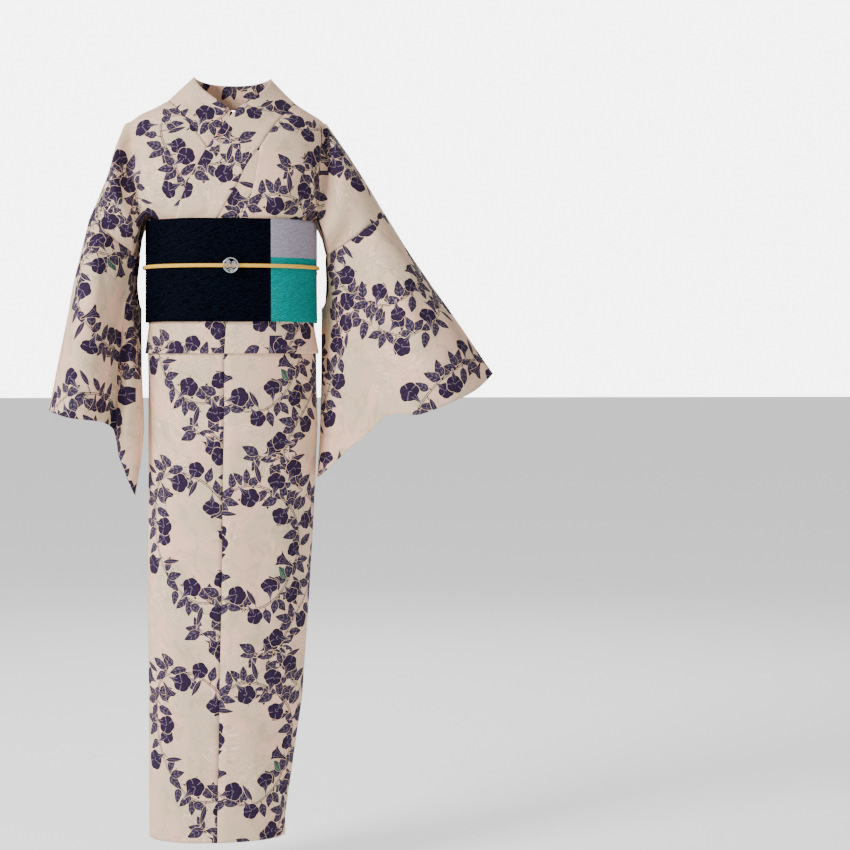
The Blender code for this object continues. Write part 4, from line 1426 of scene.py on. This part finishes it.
def stem_group() -> NodeTree:
    """One stretch of printed stem.

    Returns:
        A group that gives a double line for a main vine and a single one for a twig.
    """
    group = GroupMaker("Printed Stem")
    x, y, code = parts_of(group.tree, group.takes_vector("Stem"))
    main = code.above(MAIN_STEM / 2)
    bow = code - main * MAIN_STEM - BOW_ZERO
    off = abs(y - bow * (x * x).minus_from(1.0))
    double = abs(off - 0.13).below(0.06)
    single = off.below(0.075)
    inside = abs(x).below(1.03) * code.above(0.5)
    return group.gives(Line=(double * main + single * main.minus_from(1.0)) * inside)


def weave_group() -> NodeTree:
    """Plain weave with thicker threads here and there.

    Returns:
        A group that gives its height and where the thick threads are.
    """
    group = GroupMaker("Plain Weave")
    cloth = group.takes_vector("Cloth")
    count = group.takes_number("Threads")
    u, v, _ = parts_of(group.tree, cloth)
    warp = (u * count * math.pi).math("SINE")
    weft = (v * count * math.pi).math("SINE")
    woven = (warp * weft) * 0.5 + 0.5
    slubs = []
    for across, down in ((90.0, 1400.0), (1400.0, 70.0)):
        stretch = group.tree.nodes.new("ShaderNodeVectorMath")
        stretch.operation = "MULTIPLY"
        stretch.inputs[1].default_value = (across, down, 1.0)
        group.tree.links.new(cloth, stretch.inputs[0])
        slubs.append(noise_over(group.tree, stretch.outputs[0], 1.0))
    slub = (slubs[0] + slubs[1]) * 0.5
    return group.gives(Height=woven * 0.35 + slub * 0.65, Slub=slub)


def ghost_group() -> NodeTree:
    """The faint undertone of the cloth, barely off the ground's shade.

    Returns:
        A group that gives soft clouds, thin curling lines and small patches.
    """
    group = GroupMaker("Ghost Undertone")
    cloth, tree = group.takes_vector("Cloth"), group.tree
    contour = (noise_over(tree, cloth, 17.0, 1.5, 2.2) * 9.0).math("FRACT")
    lines = abs(contour - 0.5).below(0.09) * noise_over(tree, cloth, 9.0, 1.0).ramp(0.46, 0.58)
    return group.gives(Clouds=noise_over(tree, cloth, 14.0, 3.0, 0.6), Lines=lines,
                       Patches=noise_over(tree, cloth, 42.0, 2.0, 0.8).ramp(0.5, 0.66))


def crepe_group() -> NodeTree:
    """Short wavy ribs across the belt.

    Returns:
        A group that gives their height and where they stand up.
    """
    group = GroupMaker("Belt Crepe")
    cloth, tree = group.takes_vector("Cloth"), group.tree
    u, v, _ = parts_of(tree, cloth)
    bend = noise_over(tree, cloth, 95.0, 1.5)
    wave = (u * 640.0 + (v * 300.0).math("SINE") * 0.8).math("SINE") * 0.0011
    rib = ((v + wave + bend * 0.006) * (2 * math.pi / RIB_PITCH)).math("SINE") * 0.5 + 0.5
    rib = rib * (u * 231.0 + bend * 22.0 + v * 900.0).math("SINE").ramp(-0.7, 0.2)
    return group.gives(Height=rib * 0.8 + noise_over(tree, cloth, 900.0) * 0.3, Rib=rib)


# ---- finishes

def colour(red: int, green: int, blue: int) -> tuple[float, float, float, float]:
    """A screen colour from 0 to 255 as the renderer's linear one."""
    linear = [(c / 255 / 12.92) if c <= 10 else ((c / 255 + 0.055) / 1.055) ** 2.4 for c in (red, green, blue)]
    return (*linear, 1.0)


class Finish:
    """A material with its node tree and small helpers."""

    def __init__(self, name: str) -> None:
        """Make the material."""
        self.material = bpy.data.materials.new(name)
        self.material.use_nodes = True
        self.tree = self.material.node_tree
        self.shader = self.tree.nodes["Principled BSDF"]

    def group(self, tree: NodeTree, **inputs: "NodeSocket | float") -> Node:
        """Place a group.

        Args:
            tree: The group.
            inputs: What feeds its inputs, by their names.

        Returns:
            The group's node.
        """
        node = self.tree.nodes.new("ShaderNodeGroup")
        node.node_tree = tree
        for name, value in inputs.items():
            if isinstance(value, (int, float)):
                node.inputs[name].default_value = value
            else:
                self.tree.links.new(value, node.inputs[name])
        return node

    def cloth(self) -> NodeSocket:
        """The place on the flat cloth, across and down, in metres."""
        node = self.tree.nodes.new("ShaderNodeUVMap")
        node.uv_map = "cloth"
        return node.outputs[0]

    def named(self, attribute: str) -> NodeSocket:
        """A vector that the mesh carries."""
        node = self.tree.nodes.new("ShaderNodeAttribute")
        node.attribute_name = attribute
        return node.outputs["Vector"]

    def field(self, node: Node, output: str) -> Field:
        """An output as a field."""
        return Field(self.tree, node.outputs[output])

    def blend(self, first: "NodeSocket | tuple", second: "NodeSocket | tuple",
              share: "Field | float") -> NodeSocket:
        """Mix two colours.

        Args:
            first: One colour.
            second: The other.
            share: How much of the second, from 0 to 1.

        Returns:
            The mixed colour.
        """
        node = self.tree.nodes.new("ShaderNodeMix")
        node.data_type = "RGBA"
        for k, value in ((0, share), (6, first), (7, second)):
            if isinstance(value, (float, tuple)):
                node.inputs[k].default_value = value
            else:
                self.tree.links.new(value.socket if isinstance(value, Field) else value, node.inputs[k])
        return node.outputs[2]

    def dress(self, base: NodeSocket, height: Field, distance: float, strength: float,
              **numbers: float) -> Material:
        """Feed the shader.

        Args:
            base: The base colour.
            height: The relief, from 0 to 1.
            distance: The relief's depth in metres.
            strength: How strongly it shows.
            numbers: The shader's own numbers, which are the same all over the surface.

        Returns:
            The finished material.
        """
        node = self.tree.nodes.new("ShaderNodeBump")
        node.inputs["Distance"].default_value = distance
        node.inputs["Strength"].default_value = strength
        self.tree.links.new(height.socket, node.inputs["Height"])
        self.tree.links.new(node.outputs[0], self.shader.inputs["Normal"])
        self.tree.links.new(base, self.shader.inputs["Base Color"])
        for name, value in numbers.items():
            self.shader.inputs[name.replace("_", " ")].default_value = value
        return self.material


@dataclass(frozen=True)
class PrintedCotton:
    """Pinkish beige cotton with the vine print in ink purple."""

    ground: tuple = colour(226, 190, 158)
    ground_cool: tuple = colour(206, 185, 156)
    ground_pink: tuple = colour(238, 188, 166)
    ground_shade: tuple = colour(176, 156, 128)
    ground_light: tuple = colour(246, 218, 190)
    slub: tuple = colour(140, 108, 84)
    ink: tuple = colour(38, 23, 50)
    ink_worn: tuple = colour(60, 44, 74)
    ink_deep: tuple = colour(20, 12, 27)
    ink_leaf: tuple = colour(68, 57, 78)
    ink_faded: tuple = colour(120, 106, 122)
    stem: tuple = colour(30, 20, 38)
    green: tuple = colour(62, 112, 84)
    threads: float = 1700.0  # in a metre
    green_share: float = 0.895  # leaves whose chance number is over it are green

    def make(self) -> Material:
        """Build the material.

        Returns:
            The finished material.
        """
        finish = Finish("printed_cotton")
        cloth = finish.cloth()
        weave = finish.group(weave_group(), Cloth=cloth, Threads=self.threads)
        ground = self.undertone(finish, cloth)
        worn = noise_over(finish.tree, cloth, 420.0, 3.0).ramp(0.5, 0.68)
        ink = finish.blend(self.ink, self.ink_worn, worn * 0.6)
        base = ground
        stems, motifs = stem_group(), motif_group()
        for k in range(STEM_SLOTS):
            node = finish.group(stems, Stem=finish.named(f"stem_{k}"))
            base = finish.blend(base, self.stem, finish.field(node, "Line"))
        for k in reversed(range(MOTIF_SLOTS)):
            node = finish.group(motifs, Motif=finish.named(f"motif_{k}"))
            leafy = finish.field(node, "Leafy")
            fill = finish.blend(ink, self.ink_leaf, leafy * 0.75)
            green = finish.field(node, "Chance").above(self.green_share) * leafy * 0.9
            fill = finish.blend(fill, self.green, green)
            edge = finish.blend(self.ink_deep, fill, finish.field(node, "Depth"))
            drawn = finish.blend(edge, self.ink_faded, finish.field(node, "Lines") * 0.75)
            base = finish.blend(base, ground, finish.field(node, "Rim"))
            base = finish.blend(base, drawn, finish.field(node, "Shape"))
        base = finish.blend(base, self.slub, finish.field(weave, "Slub").ramp(0.5, 0.75) * 0.12)
        return finish.dress(base, finish.field(weave, "Height"), 0.00025, 0.5, Roughness=0.86,
                            Specular_IOR_Level=0.12, Sheen_Weight=0.03, Sheen_Roughness=0.5)

    def undertone(self, finish: Finish, cloth: NodeSocket) -> NodeSocket:
        """The ground's colour with its faint clouds, patches and lines.

        Args:
            finish: The material.
            cloth: The place on the flat cloth.

        Returns:
            The colour.
        """
        ghost = finish.group(ghost_group(), Cloth=cloth)
        ground = finish.blend(self.ground_cool, self.ground_pink, finish.field(ghost, "Clouds").ramp(0.36, 0.64))
        ground = finish.blend(ground, self.ground, 0.3)
        ground = finish.blend(ground, self.ground_shade, finish.field(ghost, "Patches") * 0.4)
        return finish.blend(ground, self.ground_light, finish.field(ghost, "Lines") * 0.7)


@dataclass(frozen=True)
class BeltWeave:
    """Navy belt with a grey block over a teal one on part of its length."""

    navy: tuple = colour(0, 0, 5)
    navy_glint: tuple = colour(4, 12, 27)
    grey: tuple = colour(160, 153, 168)
    # the deeper grey and teal are painted shade between the belt's raised ribs
    grey_rib_shade: tuple = colour(126, 119, 135)
    teal: tuple = colour(6, 146, 142)
    teal_rib_shade: tuple = colour(2, 106, 104)
    blocks: bool = True

    def make(self, name: str) -> Material:
        """Build the material.

        Args:
            name: The material's name.

        Returns:
            The finished material.
        """
        finish = Finish(name)
        crepe = finish.group(crepe_group(), Cloth=finish.cloth())
        rib = finish.field(crepe, "Rib")
        base = finish.blend(self.navy, self.navy_glint, rib)
        if self.blocks:
            inside, height, _ = parts_of(finish.tree, finish.named("block"))
            bright = finish.blend(self.teal, self.grey, height.above(0.0))
            # painted shade: the block takes its darker colour between the ribs and its own colour on them
            darker = finish.blend(self.teal_rib_shade, self.grey_rib_shade, height.above(0.0))
            block = finish.blend(darker, bright, rib * 0.7 + 0.3)
            base = finish.blend(base, block, inside.above(0.0))
        return finish.dress(base, finish.field(crepe, "Height"), 0.0004, 0.7, Roughness=0.75,
                            Specular_IOR_Level=0.03)


@dataclass(frozen=True)
class GoldBraid:
    """Flat braided cord of gold-coloured silk, with painted highlight on its plaits' crests and painted shade in
    the grooves between them.
    """

    # painted highlight: the gold on the plaits' crests
    light: tuple = colour(255, 214, 62)
    # painted shade: the gold in the grooves between the plaits
    groove_shade: tuple = colour(222, 144, 18)

    def make(self) -> Material:
        """Build the material.

        Returns:
            The finished material.
        """
        finish = Finish("gold_braid")
        along, round_, _ = parts_of(finish.tree, finish.cloth())
        along, off = along / (PLAIT_LENGTH / 2), abs(round_ - 0.25)
        plait = ((along + off * 8.0) * (2 * math.pi)).math("SINE") * 0.5 + 0.5
        thread = ((along - off * 30.0) * (2 * math.pi)).math("SINE") * 0.5 + 0.5
        # the colour follows the plaits' relief: painted highlight on the crests, painted shade in the grooves
        shade = finish.blend(self.groove_shade, self.light, plait * 0.75 + thread * 0.25)
        return finish.dress(shade, plait * 0.8 + thread * 0.2, 0.0005, 0.8, Roughness=0.45, Sheen_Weight=0.1)


@dataclass(frozen=True)
class SilverMetal:
    """Bright openwork metal, mottled a little darker at random."""

    bright: tuple = colour(214, 214, 218)
    worn: tuple = colour(112, 110, 114)

    def make(self) -> Material:
        """Build the material.

        Returns:
            The finished material.
        """
        finish = Finish("clasp_silver")
        place = finish.tree.nodes.new("ShaderNodeTexCoord")
        wear = noise_over(finish.tree, place.outputs["Object"], 900.0, 3.0)
        shade = finish.blend(self.worn, self.bright, wear.ramp(0.3, 0.6))
        return finish.dress(shade, wear, 0.0001, 0.3, Metallic=1.0, Roughness=0.28)


# ---- the robe

def placed(piece: Object, nodes: Sequence[str]) -> Object:
    """Let a piece ride on the robe's one body and stand for its CAD nodes.

    Args:
        piece: The piece.
        nodes: The CAD nodes that it stands for.

    Returns:
        The same piece.
    """
    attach(piece, ROOT)
    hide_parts(*nodes)
    area = sum(face.area for face in piece.data.polygons)
    LOG.info("%s: %d points, %.3f square metres", piece.name, len(piece.data.vertices), area)
    return piece


def trunk_middle(points: Array) -> Array:
    """The middle of the figure at each point's height, which follows the arms above the chest.

    Args:
        points: Points of a panel, any shape ending in 3.

    Returns:
        The middles, in the same shape.
    """
    middle = np.zeros_like(points)
    middle[..., 0] = np.interp(points[..., 2], RING_ROWS[:, 0], RING_ROWS[:, 3])
    middle[..., 2] = points[..., 2]
    high = np.clip((points[..., 2] - CHEST_HEIGHT) / CHEST_RISE, 0, 1)
    middle[..., 2] -= CHEST_DROP * high
    reach = np.clip(np.abs(points[..., 0]) - ARM_START, 0, ARM_REACH)
    middle[..., 0] += np.sign(points[..., 0]) * reach * high
    return middle


@dataclass
class Robe:
    """The cotton robe: two body panels, two overlaps, two sleeves and the collar."""

    pattern: VinePrint = field(default_factory=VinePrint)
    cotton: PrintedCotton = field(default_factory=PrintedCotton)
    body_shift: dict = field(default_factory=lambda: {Side.LEFT: (-0.066, 0.043), Side.RIGHT: (0.10, 0.20)})
    okumi_shift: dict = field(default_factory=lambda: {Side.LEFT: (-0.005, 0.005), Side.RIGHT: (-0.05, 0.10)})
    sleeve_shift: dict = field(default_factory=lambda: {Side.LEFT: (-0.06, -0.04), Side.RIGHT: (-0.10, 0.04)})
    collar_shift: tuple = (0.23, 0.27)
    body_cut: tuple = (0.24, 2.36)
    okumi_cut: dict = field(default_factory=lambda: {Side.LEFT: (0.14, 1.20), Side.RIGHT: (0.13, 1.08)})
    sleeve_cut: dict = field(default_factory=lambda: {Side.LEFT: (0.27, 0.78), Side.RIGHT: (0.22, 0.74)})
    collar_cut: tuple = (0.055, 1.18)

    def build(self) -> None:
        """Make and place every cotton piece."""
        finish = self.cotton.make()
        for side in Side:
            form = BodiceForm(side)
            self.panel("body_" + side.value, form.body(), finish, self.body_shift[side],
                       not side.over)
            self.panel("okumi_" + side.value, form.okumi(), finish, self.okumi_shift[side],
                       not side.over)
            self.sleeve(side, form, finish)
        collar = PanelMesh("collar_band", collar_rows())
        layers = collar.print_vines(self.pattern, self.collar_shift, False)
        piece = placed(collar.build(COLLAR_WALL, finish, layers), ["collar"])

    def panel(self, name: str, rows: list[Array], finish: Material, shift: Pair,
              flip: bool) -> None:
        """Make one panel that hangs round the figure.

        Args:
            name: The CAD node, and the start of the piece's name.
            rows: Its grid.
            finish: Its material.
            shift: Where the print's repeat starts on it.
            flip: Whether its cloth runs the other way round.
        """
        mesh = PanelMesh(name + "_panel", rows)
        layers = mesh.print_vines(self.pattern, shift, flip)
        mesh.soften(BODY_CREASES, trunk_middle)
        nodes = [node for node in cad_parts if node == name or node.startswith(name + "_")]
        piece = placed(mesh.build(COTTON_WALL, finish, layers), nodes)

    def sleeve(self, side: Side, form: BodiceForm, finish: Material) -> None:
        """Make one sleeve, which hangs from the arm.

        Args:
            side: The side that it is on.
            form: That side's fold lines.
            finish: Its material.
        """
        mesh = PanelMesh(f"sleeve_{side.value}_panel", form.sleeve(), u_along_rows=True)
        layers = mesh.print_vines(self.pattern, self.sleeve_shift[side], not side.over)
        middles = mesh.points.mean(axis=1, keepdims=True)
        mesh.soften(SLEEVE_CREASES, lambda points: np.broadcast_to(middles, points.shape))
        piece = placed(mesh.build(COTTON_WALL, finish, layers), [f"sleeve_{side.value}"])


# ---- the belt

def resample(path: Sequence[Pair], step: float) -> Array:
    """A path of straight stretches as evenly spaced points, with its corners eased.

    Args:
        path: The corners.
        step: Distance between the new points.

    Returns:
        The points.
    """
    points = np.array(path, dtype=float)
    for _ in range(2):
        cut = np.stack([0.75 * points[:-1] + 0.25 * points[1:], 0.25 * points[:-1] + 0.75 * points[1:]], axis=1)
        points = np.concatenate([points[:1], cut.reshape(-1, points.shape[1]), points[-1:]])
    travelled = np.concatenate([[0], np.cumsum(np.linalg.norm(np.diff(points, axis=0), axis=1))])
    places = np.linspace(0, travelled[-1], int(travelled[-1] / step) + 2)
    return np.stack([np.interp(places, travelled, points[:, k]) for k in range(points.shape[1])], axis=1)


def knot_layer_y(x: float, layer: float) -> float:
    """Depth of a layer of the flat knot at x."""
    return KNOT_Y + layer * KNOT_PITCH + KNOT_FLARE * (x / KNOT_HALF_WIDTH) ** 2


def round_points(middle: Array, radius: float, count: int) -> list[Array]:
    """Points on a circle."""
    return [middle + radius * np.array((math.cos(a), math.sin(a)))
            for a in np.linspace(0, 2 * math.pi, count, endpoint=False)]


@dataclass
class Belt:
    """The belt's turns, its flat knot, and the braided cord with its clasp."""

    block_start: float = 0.063  # x of the colour blocks' edge at the front
    block_split: float = -0.2705  # height where grey meets teal
    turn_steps: int = 150  # columns in one turn of the belt
    turn_rows: int = 27
    cord_steps: int = 720
    cord_sides: int = 16
    cord_depth: float = 1.75 * MM  # half the flat braid's thickness
    cord_tall: float = 3.1 * MM  # half its width
    cord_groove: float = 0.30 * MM
    cord_plait: float = 0.16 * MM
    cord_press: float = 0.6 * MM  # how far the cord sinks into the belt's front
    rim_wire: float = 1.05 * MM
    wave_wire: float = 0.75 * MM
    petal_wire: float = 0.55 * MM
    bar_wire: float = 0.7 * MM
    clasp_waves: tuple = ((-0.0022, 0.0021), (-0.0066, 0.0017))  # height and rise of each
    # x, z and size of each blossom
    clasp_blossoms: tuple = ((-0.0042, 0.0052, 0.0034), (0.0050, 0.0036, 0.0030), (0.0008, -0.0098, 0.0019))
    clasp_bar: tuple = ((-0.0118, 0.0012), (-0.004, 0.0022), (0.004, -0.0002), (0.0118, 0.0006))
    weave: BeltWeave = field(default_factory=BeltWeave)
    plain: BeltWeave = field(default_factory=lambda: BeltWeave(blocks=False))

    def build(self) -> None:
        """Make and place every piece of the belt."""
        self.turns()
        plain = self.plain.make("belt_knot_weave")
        self.folded("obi_knot", self.knot_rows(), plain)
        self.folded("obi_knot_band", self.band_rows(), plain)
        self.cord()
        self.clasp()

    def turn_row(self, z: float, edge: float) -> Array:
        """One row of the spiral round the waist.

        Args:
            z: Its height.
            edge: How uneven it is, 1 at the belt's two edges.

        Returns:
            Its points.
        """
        row = []
        for k in range(OBI_TURNS * self.turn_steps + 1):
            turn = k / self.turn_steps
            phi = belt_angle(math.pi + 2 * math.pi * turn)
            point = ring_point(phi, z, OBI_INNER + OBI_PITCH * turn + float(lift(phi)))
            point[2] += 0.0009 * edge * noise.noise(Vector((point[0] * 14, point[1] * 14, turn)))
            row.append(point)
        return np.array(row)

    def turns(self) -> None:
        """The spiral round the waist, its edges a little uneven, with the colour blocks' place on it."""
        mesh = PanelMesh("obi_turns", [self.turn_row(BELT_TOP + (BELT_BOTTOM - BELT_TOP) * h, abs(2 * h - 1) ** 6)
                                       for h in np.linspace(0, 1, self.turn_rows)])
        outward = mesh.outward(trunk_middle)
        slow = np.array([noise.noise(Vector((x * 11, y * 11, z * 16)))
                         for x, y, z in mesh.points.reshape(-1, 3)]).reshape(mesh.points.shape[:2])
        mesh.points = mesh.points + outward * (slow * 0.5 * MM)[..., None]
        piece = mesh.build(OBI_WALL, self.weave.make("belt_weave"))
        x, y, z = (mesh.points[..., k] for k in range(3))
        inside = np.maximum(x - self.block_start, np.where(y > 0, x, -1.0))
        lay_vectors(piece.data, "block",
                    mesh.corners(np.stack([inside * 100, (z - self.block_split) * 100, 0 * z], axis=-1)))
        placed(piece, ["obi_wrap"])

    def knot_rows(self) -> list[Array]:
        """The knot's three layers, folded at both ends.

        Returns:
            Their rows from top to bottom.
        """
        w = KNOT_HALF_WIDTH
        path = [(x, knot_layer_y(x, 0)) for x in np.linspace(-0.06, w, 6)]
        path += [(w + 0.0016, knot_layer_y(w, 0.5))]
        path += [(x, knot_layer_y(x, 1)) for x in np.linspace(w, -w, 9)]
        path += [(-w - 0.0016, knot_layer_y(w, 1.5))]
        path += [(x, knot_layer_y(x, 2)) for x in np.linspace(-w, 0.05, 6)]
        top, bottom = BELT_TOP + 0.004, BELT_BOTTOM - 0.004
        return [np.array([(x, y, z) for x, y in resample(path, 0.004)]) for z in np.linspace(top, bottom, 25)]

    def band_rows(self) -> list[Array]:
        """The band folded down over the knot.

        Returns:
            Its rows from one tucked end over the knot to the other.
        """
        inside, outside = KNOT_Y - KNOT_PITCH, knot_layer_y(KNOT_BAND_HALF, 3)
        top, bottom = BELT_TOP + 0.008, BELT_BOTTOM - 0.008
        path = [(inside, top - 0.03), (inside, top - 0.002), (inside + 0.003, top), (outside - 0.003, top),
                (outside, top - 0.004), (outside + 0.001, -0.292), (outside, bottom + 0.004),
                (outside - 0.003, bottom), (inside + 0.003, bottom), (inside, bottom + 0.002),
                (inside, bottom + 0.03)]
        across = np.linspace(-KNOT_BAND_HALF, KNOT_BAND_HALF, 18)
        return [np.array([(x, y, z) for x in across]) for y, z in resample(path, 0.003)]

    def folded(self, node: str, rows: list[Array], finish: Material) -> None:
        """Make one folded piece of the knot."""
        piece = placed(PanelMesh(node + "_cloth", rows).build(KNOT_WALL, finish), [node])

    def cord_route(self) -> list[Array]:
        """The cord's closed way round the belt and over the knot.

        Returns:
            The points that it passes.
        """
        stand = OBI_INNER + OBI_PITCH * OBI_TURNS + OBI_WALL / 2 + CORD_RADIUS + SEAM_GAP
        points = []
        for degrees in range(-116, 117, 8):
            phi = math.radians(degrees)
            points.append(ring_point(phi, CORD_Z, stand + float(lift(phi)) - self.cord_press))
        w = KNOT_HALF_WIDTH
        behind = [(w + 0.010, knot_layer_y(w, 0)), (w + 0.008, knot_layer_y(w, 2)),
                  (w - 0.006, knot_layer_y(w, 3) + 0.004), (w - 0.05, knot_layer_y(w - 0.05, 3) + 0.004),
                  (KNOT_BAND_HALF + 0.004, knot_layer_y(KNOT_BAND_HALF, 4) + 0.004),
                  (0.0, knot_layer_y(KNOT_BAND_HALF, 4) + 0.004)]
        points += [np.array((x, y, CORD_Z)) for x, y in behind]
        points += [np.array((-x, y, CORD_Z)) for x, y in behind[-2::-1]]
        return points

    def cord(self) -> None:
        """The flat braid: an oval section with a groove along its middle, swept round the route."""
        route, steps, sides = self.cord_route(), self.cord_steps, self.cord_sides
        path = np.array([loop_spline(route, t) for t in np.linspace(0, len(route), steps, endpoint=False)])
        ways = unit(np.roll(path, -1, axis=0) - np.roll(path, 1, axis=0))
        travelled = np.concatenate([[0], np.cumsum(np.linalg.norm(np.diff(path, axis=0), axis=1))])
        up = np.array((0.0, 0.0, 1.0))
        vertices, faces, sizes = [], [], []
        for k, (point, way) in enumerate(zip(path, ways)):
            out = unit(np.cross(way, up))
            n = (k + 1) % steps
            start, end = travelled[k], travelled[k] + 0.0013
            for j in range(sides):
                m = (j + 1) % sides
                a = 2 * math.pi * j / sides
                groove = self.cord_groove * math.exp(-(math.sin(a) / 0.25) ** 2)
                crossing = travelled[k] / PLAIT_LENGTH + abs(math.sin(a)) * 0.8
                plait = self.cord_plait * math.sin(2 * math.pi * crossing)
                depth = self.cord_depth - groove + plait
                tall = self.cord_tall + 0.5 * plait
                vertices.append(tuple(point + out * math.cos(a) * depth + up * math.sin(a) * tall))
                faces.append((k * sides + j, n * sides + j, n * sides + m, k * sides + m))
                low, high = j / sides, (j + 1) / sides
                sizes += [(start, low), (end, low), (end, high), (start, high)]
        mesh = bpy.data.meshes.new("obi_cord_braid")
        mesh.from_pydata(vertices, [], faces)
        lay_sizes(mesh, np.array(sizes))
        mesh.materials.append(GoldBraid().make())
        mesh.shade_smooth()
        placed(in_scene("obi_cord_braid", mesh), ["obi_cord"])

    def clasp_strokes(self) -> list[tuple[list[Array], float, bool]]:
        """The clasp's openwork: a rim, two waves, three small blossoms and a bar.

        Returns:
            For each stroke its points across and up, its radius and whether it is closed.
        """
        strokes = [(round_points(np.zeros(2), CLASP_RADIUS - 0.0011, 60), self.rim_wire, True)]
        for start, rise in self.clasp_waves:
            wave = [np.array((x, start + rise * math.sin(x * 620 + rise * 900)))
                    for x in np.linspace(-0.0115, 0.0115, 40)
                    if x * x + start * start < (CLASP_RADIUS - 0.0012) ** 2]
            strokes.append((wave, self.wave_wire, False))
        for bx, bz, size in self.clasp_blossoms:
            for petal in range(5):
                turn = 2 * math.pi * petal / 5 + bx * 300
                middle = np.array((bx + size * 0.62 * math.cos(turn), bz + size * 0.62 * math.sin(turn)))
                strokes.append((round_points(middle, 0.42 * size, 12), self.petal_wire, True))
        strokes.append(([np.array(point) for point in self.clasp_bar], self.bar_wire, False))
        return strokes

    def clasp(self) -> None:
        """The openwork clasp on the cord, its strokes joined in one mesh."""
        stand = OBI_INNER + OBI_PITCH * OBI_TURNS + OBI_WALL / 2 + 2 * CORD_RADIUS + 2 * SEAM_GAP
        front = ring_point(0.0, CORD_Z, stand + OVERLAP_LIFT)
        depth = front[1] - CLASP_THICKNESS / 2 - 1.2 * MM
        curve = bpy.data.curves.new("obi_clasp_openwork", "CURVE")
        curve.dimensions = "3D"
        curve.bevel_depth = 1.0
        curve.bevel_resolution = 3
        curve.use_fill_caps = True
        for points, radius, closed in self.clasp_strokes():
            line = curve.splines.new("POLY")
            line.points.add(len(points) - 1)
            for spot, place in zip(line.points, points):
                spot.co = (CLASP_X + place[0], depth, CORD_Z + place[1], 1.0)
                spot.radius = radius
            line.use_cyclic_u = closed
        holder = in_scene("clasp_curve", curve)
        bpy.context.view_layer.update()
        solid = bpy.data.meshes.new_from_object(holder.evaluated_get(bpy.context.evaluated_depsgraph_get()))
        bpy.data.objects.remove(holder)
        solid.materials.clear()
        solid.materials.append(SilverMetal().make())
        solid.shade_smooth()
        solid.name = "obi_clasp_openwork"
        placed(in_scene("obi_clasp_openwork", solid), ["obi_clasp"])


# ---- studio

@dataclass
class Studio:
    """Pale floor, soft lights and the camera."""

    floor_height: float = -1.33
    floor_reach: float = 60.0
    floor_shade: float = 0.94
    floor_glow: float = 0.5
    floor_roughness: float = 0.9
    distance: float = 3.2
    camera_height: float = -0.46
    aim: Pair = (0.330, -0.552)  # x and z of what the camera looks at, beside the robe
    view_angle: float = 0.4486
    surround: float = 0.48  # strength of the light from all round
    backdrop: float = 6.0  # strength of what the camera sees behind the floor
    lamps: tuple = (("key", (-2.9, -2.1, 1.5), 1.2, 245.0),  # name, place, size, power
                    ("fill", (2.2, -2.6, 0.2), 1.8, 12.0),
                    ("back", (0.6, 2.4, 1.4), 1.6, 60.0))
    lamp_aim: tuple[float, float, float] = (0, 0, -0.55)

    def build(self) -> None:
        """Make the floor, the lights and the camera."""
        self.floor()
        self.surroundings()
        for name, place, size, power in self.lamps:
            data = bpy.data.lights.new(name, "AREA")
            data.size = size
            data.energy = power
            point_at(in_scene(name, data), place, self.lamp_aim)
        self.camera()

    def floor(self) -> None:
        """A wide pale floor."""
        mesh = bpy.data.meshes.new("floor")
        reach = self.floor_reach
        corners = [(-reach, -reach), (reach, -reach), (reach, reach), (-reach, reach)]
        mesh.from_pydata([(x, y, self.floor_height) for x, y in corners], [], [(0, 1, 2, 3)])
        material = bpy.data.materials.new("pale_floor")
        material.use_nodes = True
        inputs = material.node_tree.nodes["Principled BSDF"].inputs
        inputs["Base Color"].default_value = (self.floor_shade, self.floor_shade, self.floor_shade, 1.0)
        inputs["Emission Color"].default_value = (1.0, 1.0, 1.0, 1.0)
        inputs["Emission Strength"].default_value = self.floor_glow
        inputs["Roughness"].default_value = self.floor_roughness
        mesh.materials.append(material)
        in_scene("floor", mesh)

    def surroundings(self) -> None:
        """An even white light from all round, and a brighter white behind the floor."""
        world = bpy.data.worlds.new("studio")
        world.use_nodes = True
        nodes, links = world.node_tree.nodes, world.node_tree.links
        light, sight = nodes["Background"], nodes.new("ShaderNodeBackground")
        choose = nodes.new("ShaderNodeMixShader")
        for node, strength in ((light, self.surround), (sight, self.backdrop)):
            node.inputs["Color"].default_value = (1.0, 1.0, 1.0, 1.0)
            node.inputs["Strength"].default_value = strength
        links.new(nodes.new("ShaderNodeLightPath").outputs["Is Camera Ray"], choose.inputs[0])
        links.new(light.outputs[0], choose.inputs[1])
        links.new(sight.outputs[0], choose.inputs[2])
        links.new(choose.outputs[0], nodes["World Output"].inputs["Surface"])
        bpy.context.scene.world = world

    def camera(self) -> None:
        """A camera straight in front of the robe that looks past its wearer's left side."""
        data = bpy.data.cameras.new("camera")
        data.angle = self.view_angle
        camera = in_scene("camera", data)
        point_at(camera, (0.0, -self.distance, self.camera_height), (self.aim[0], 0.0, self.aim[1]))
        bpy.context.scene.camera = camera


def point_at(thing: Object, place: tuple[float, float, float], aim: tuple[float, float, float]) -> None:
    """Put a light or the camera at a place and turn it towards another."""
    thing.location = place
    thing.rotation_euler = (Vector(aim) - Vector(place)).to_track_quat("-Z", "Y").to_euler()


def main() -> None:
    """Build the robe, its belt and the studio."""
    logging.basicConfig(level=logging.INFO, format="%(name)s: %(message)s")
    Robe().build()
    Belt().build()
    Studio().build()
    bpy.context.view_layer.update()


if __name__ == "__main__":
    main()
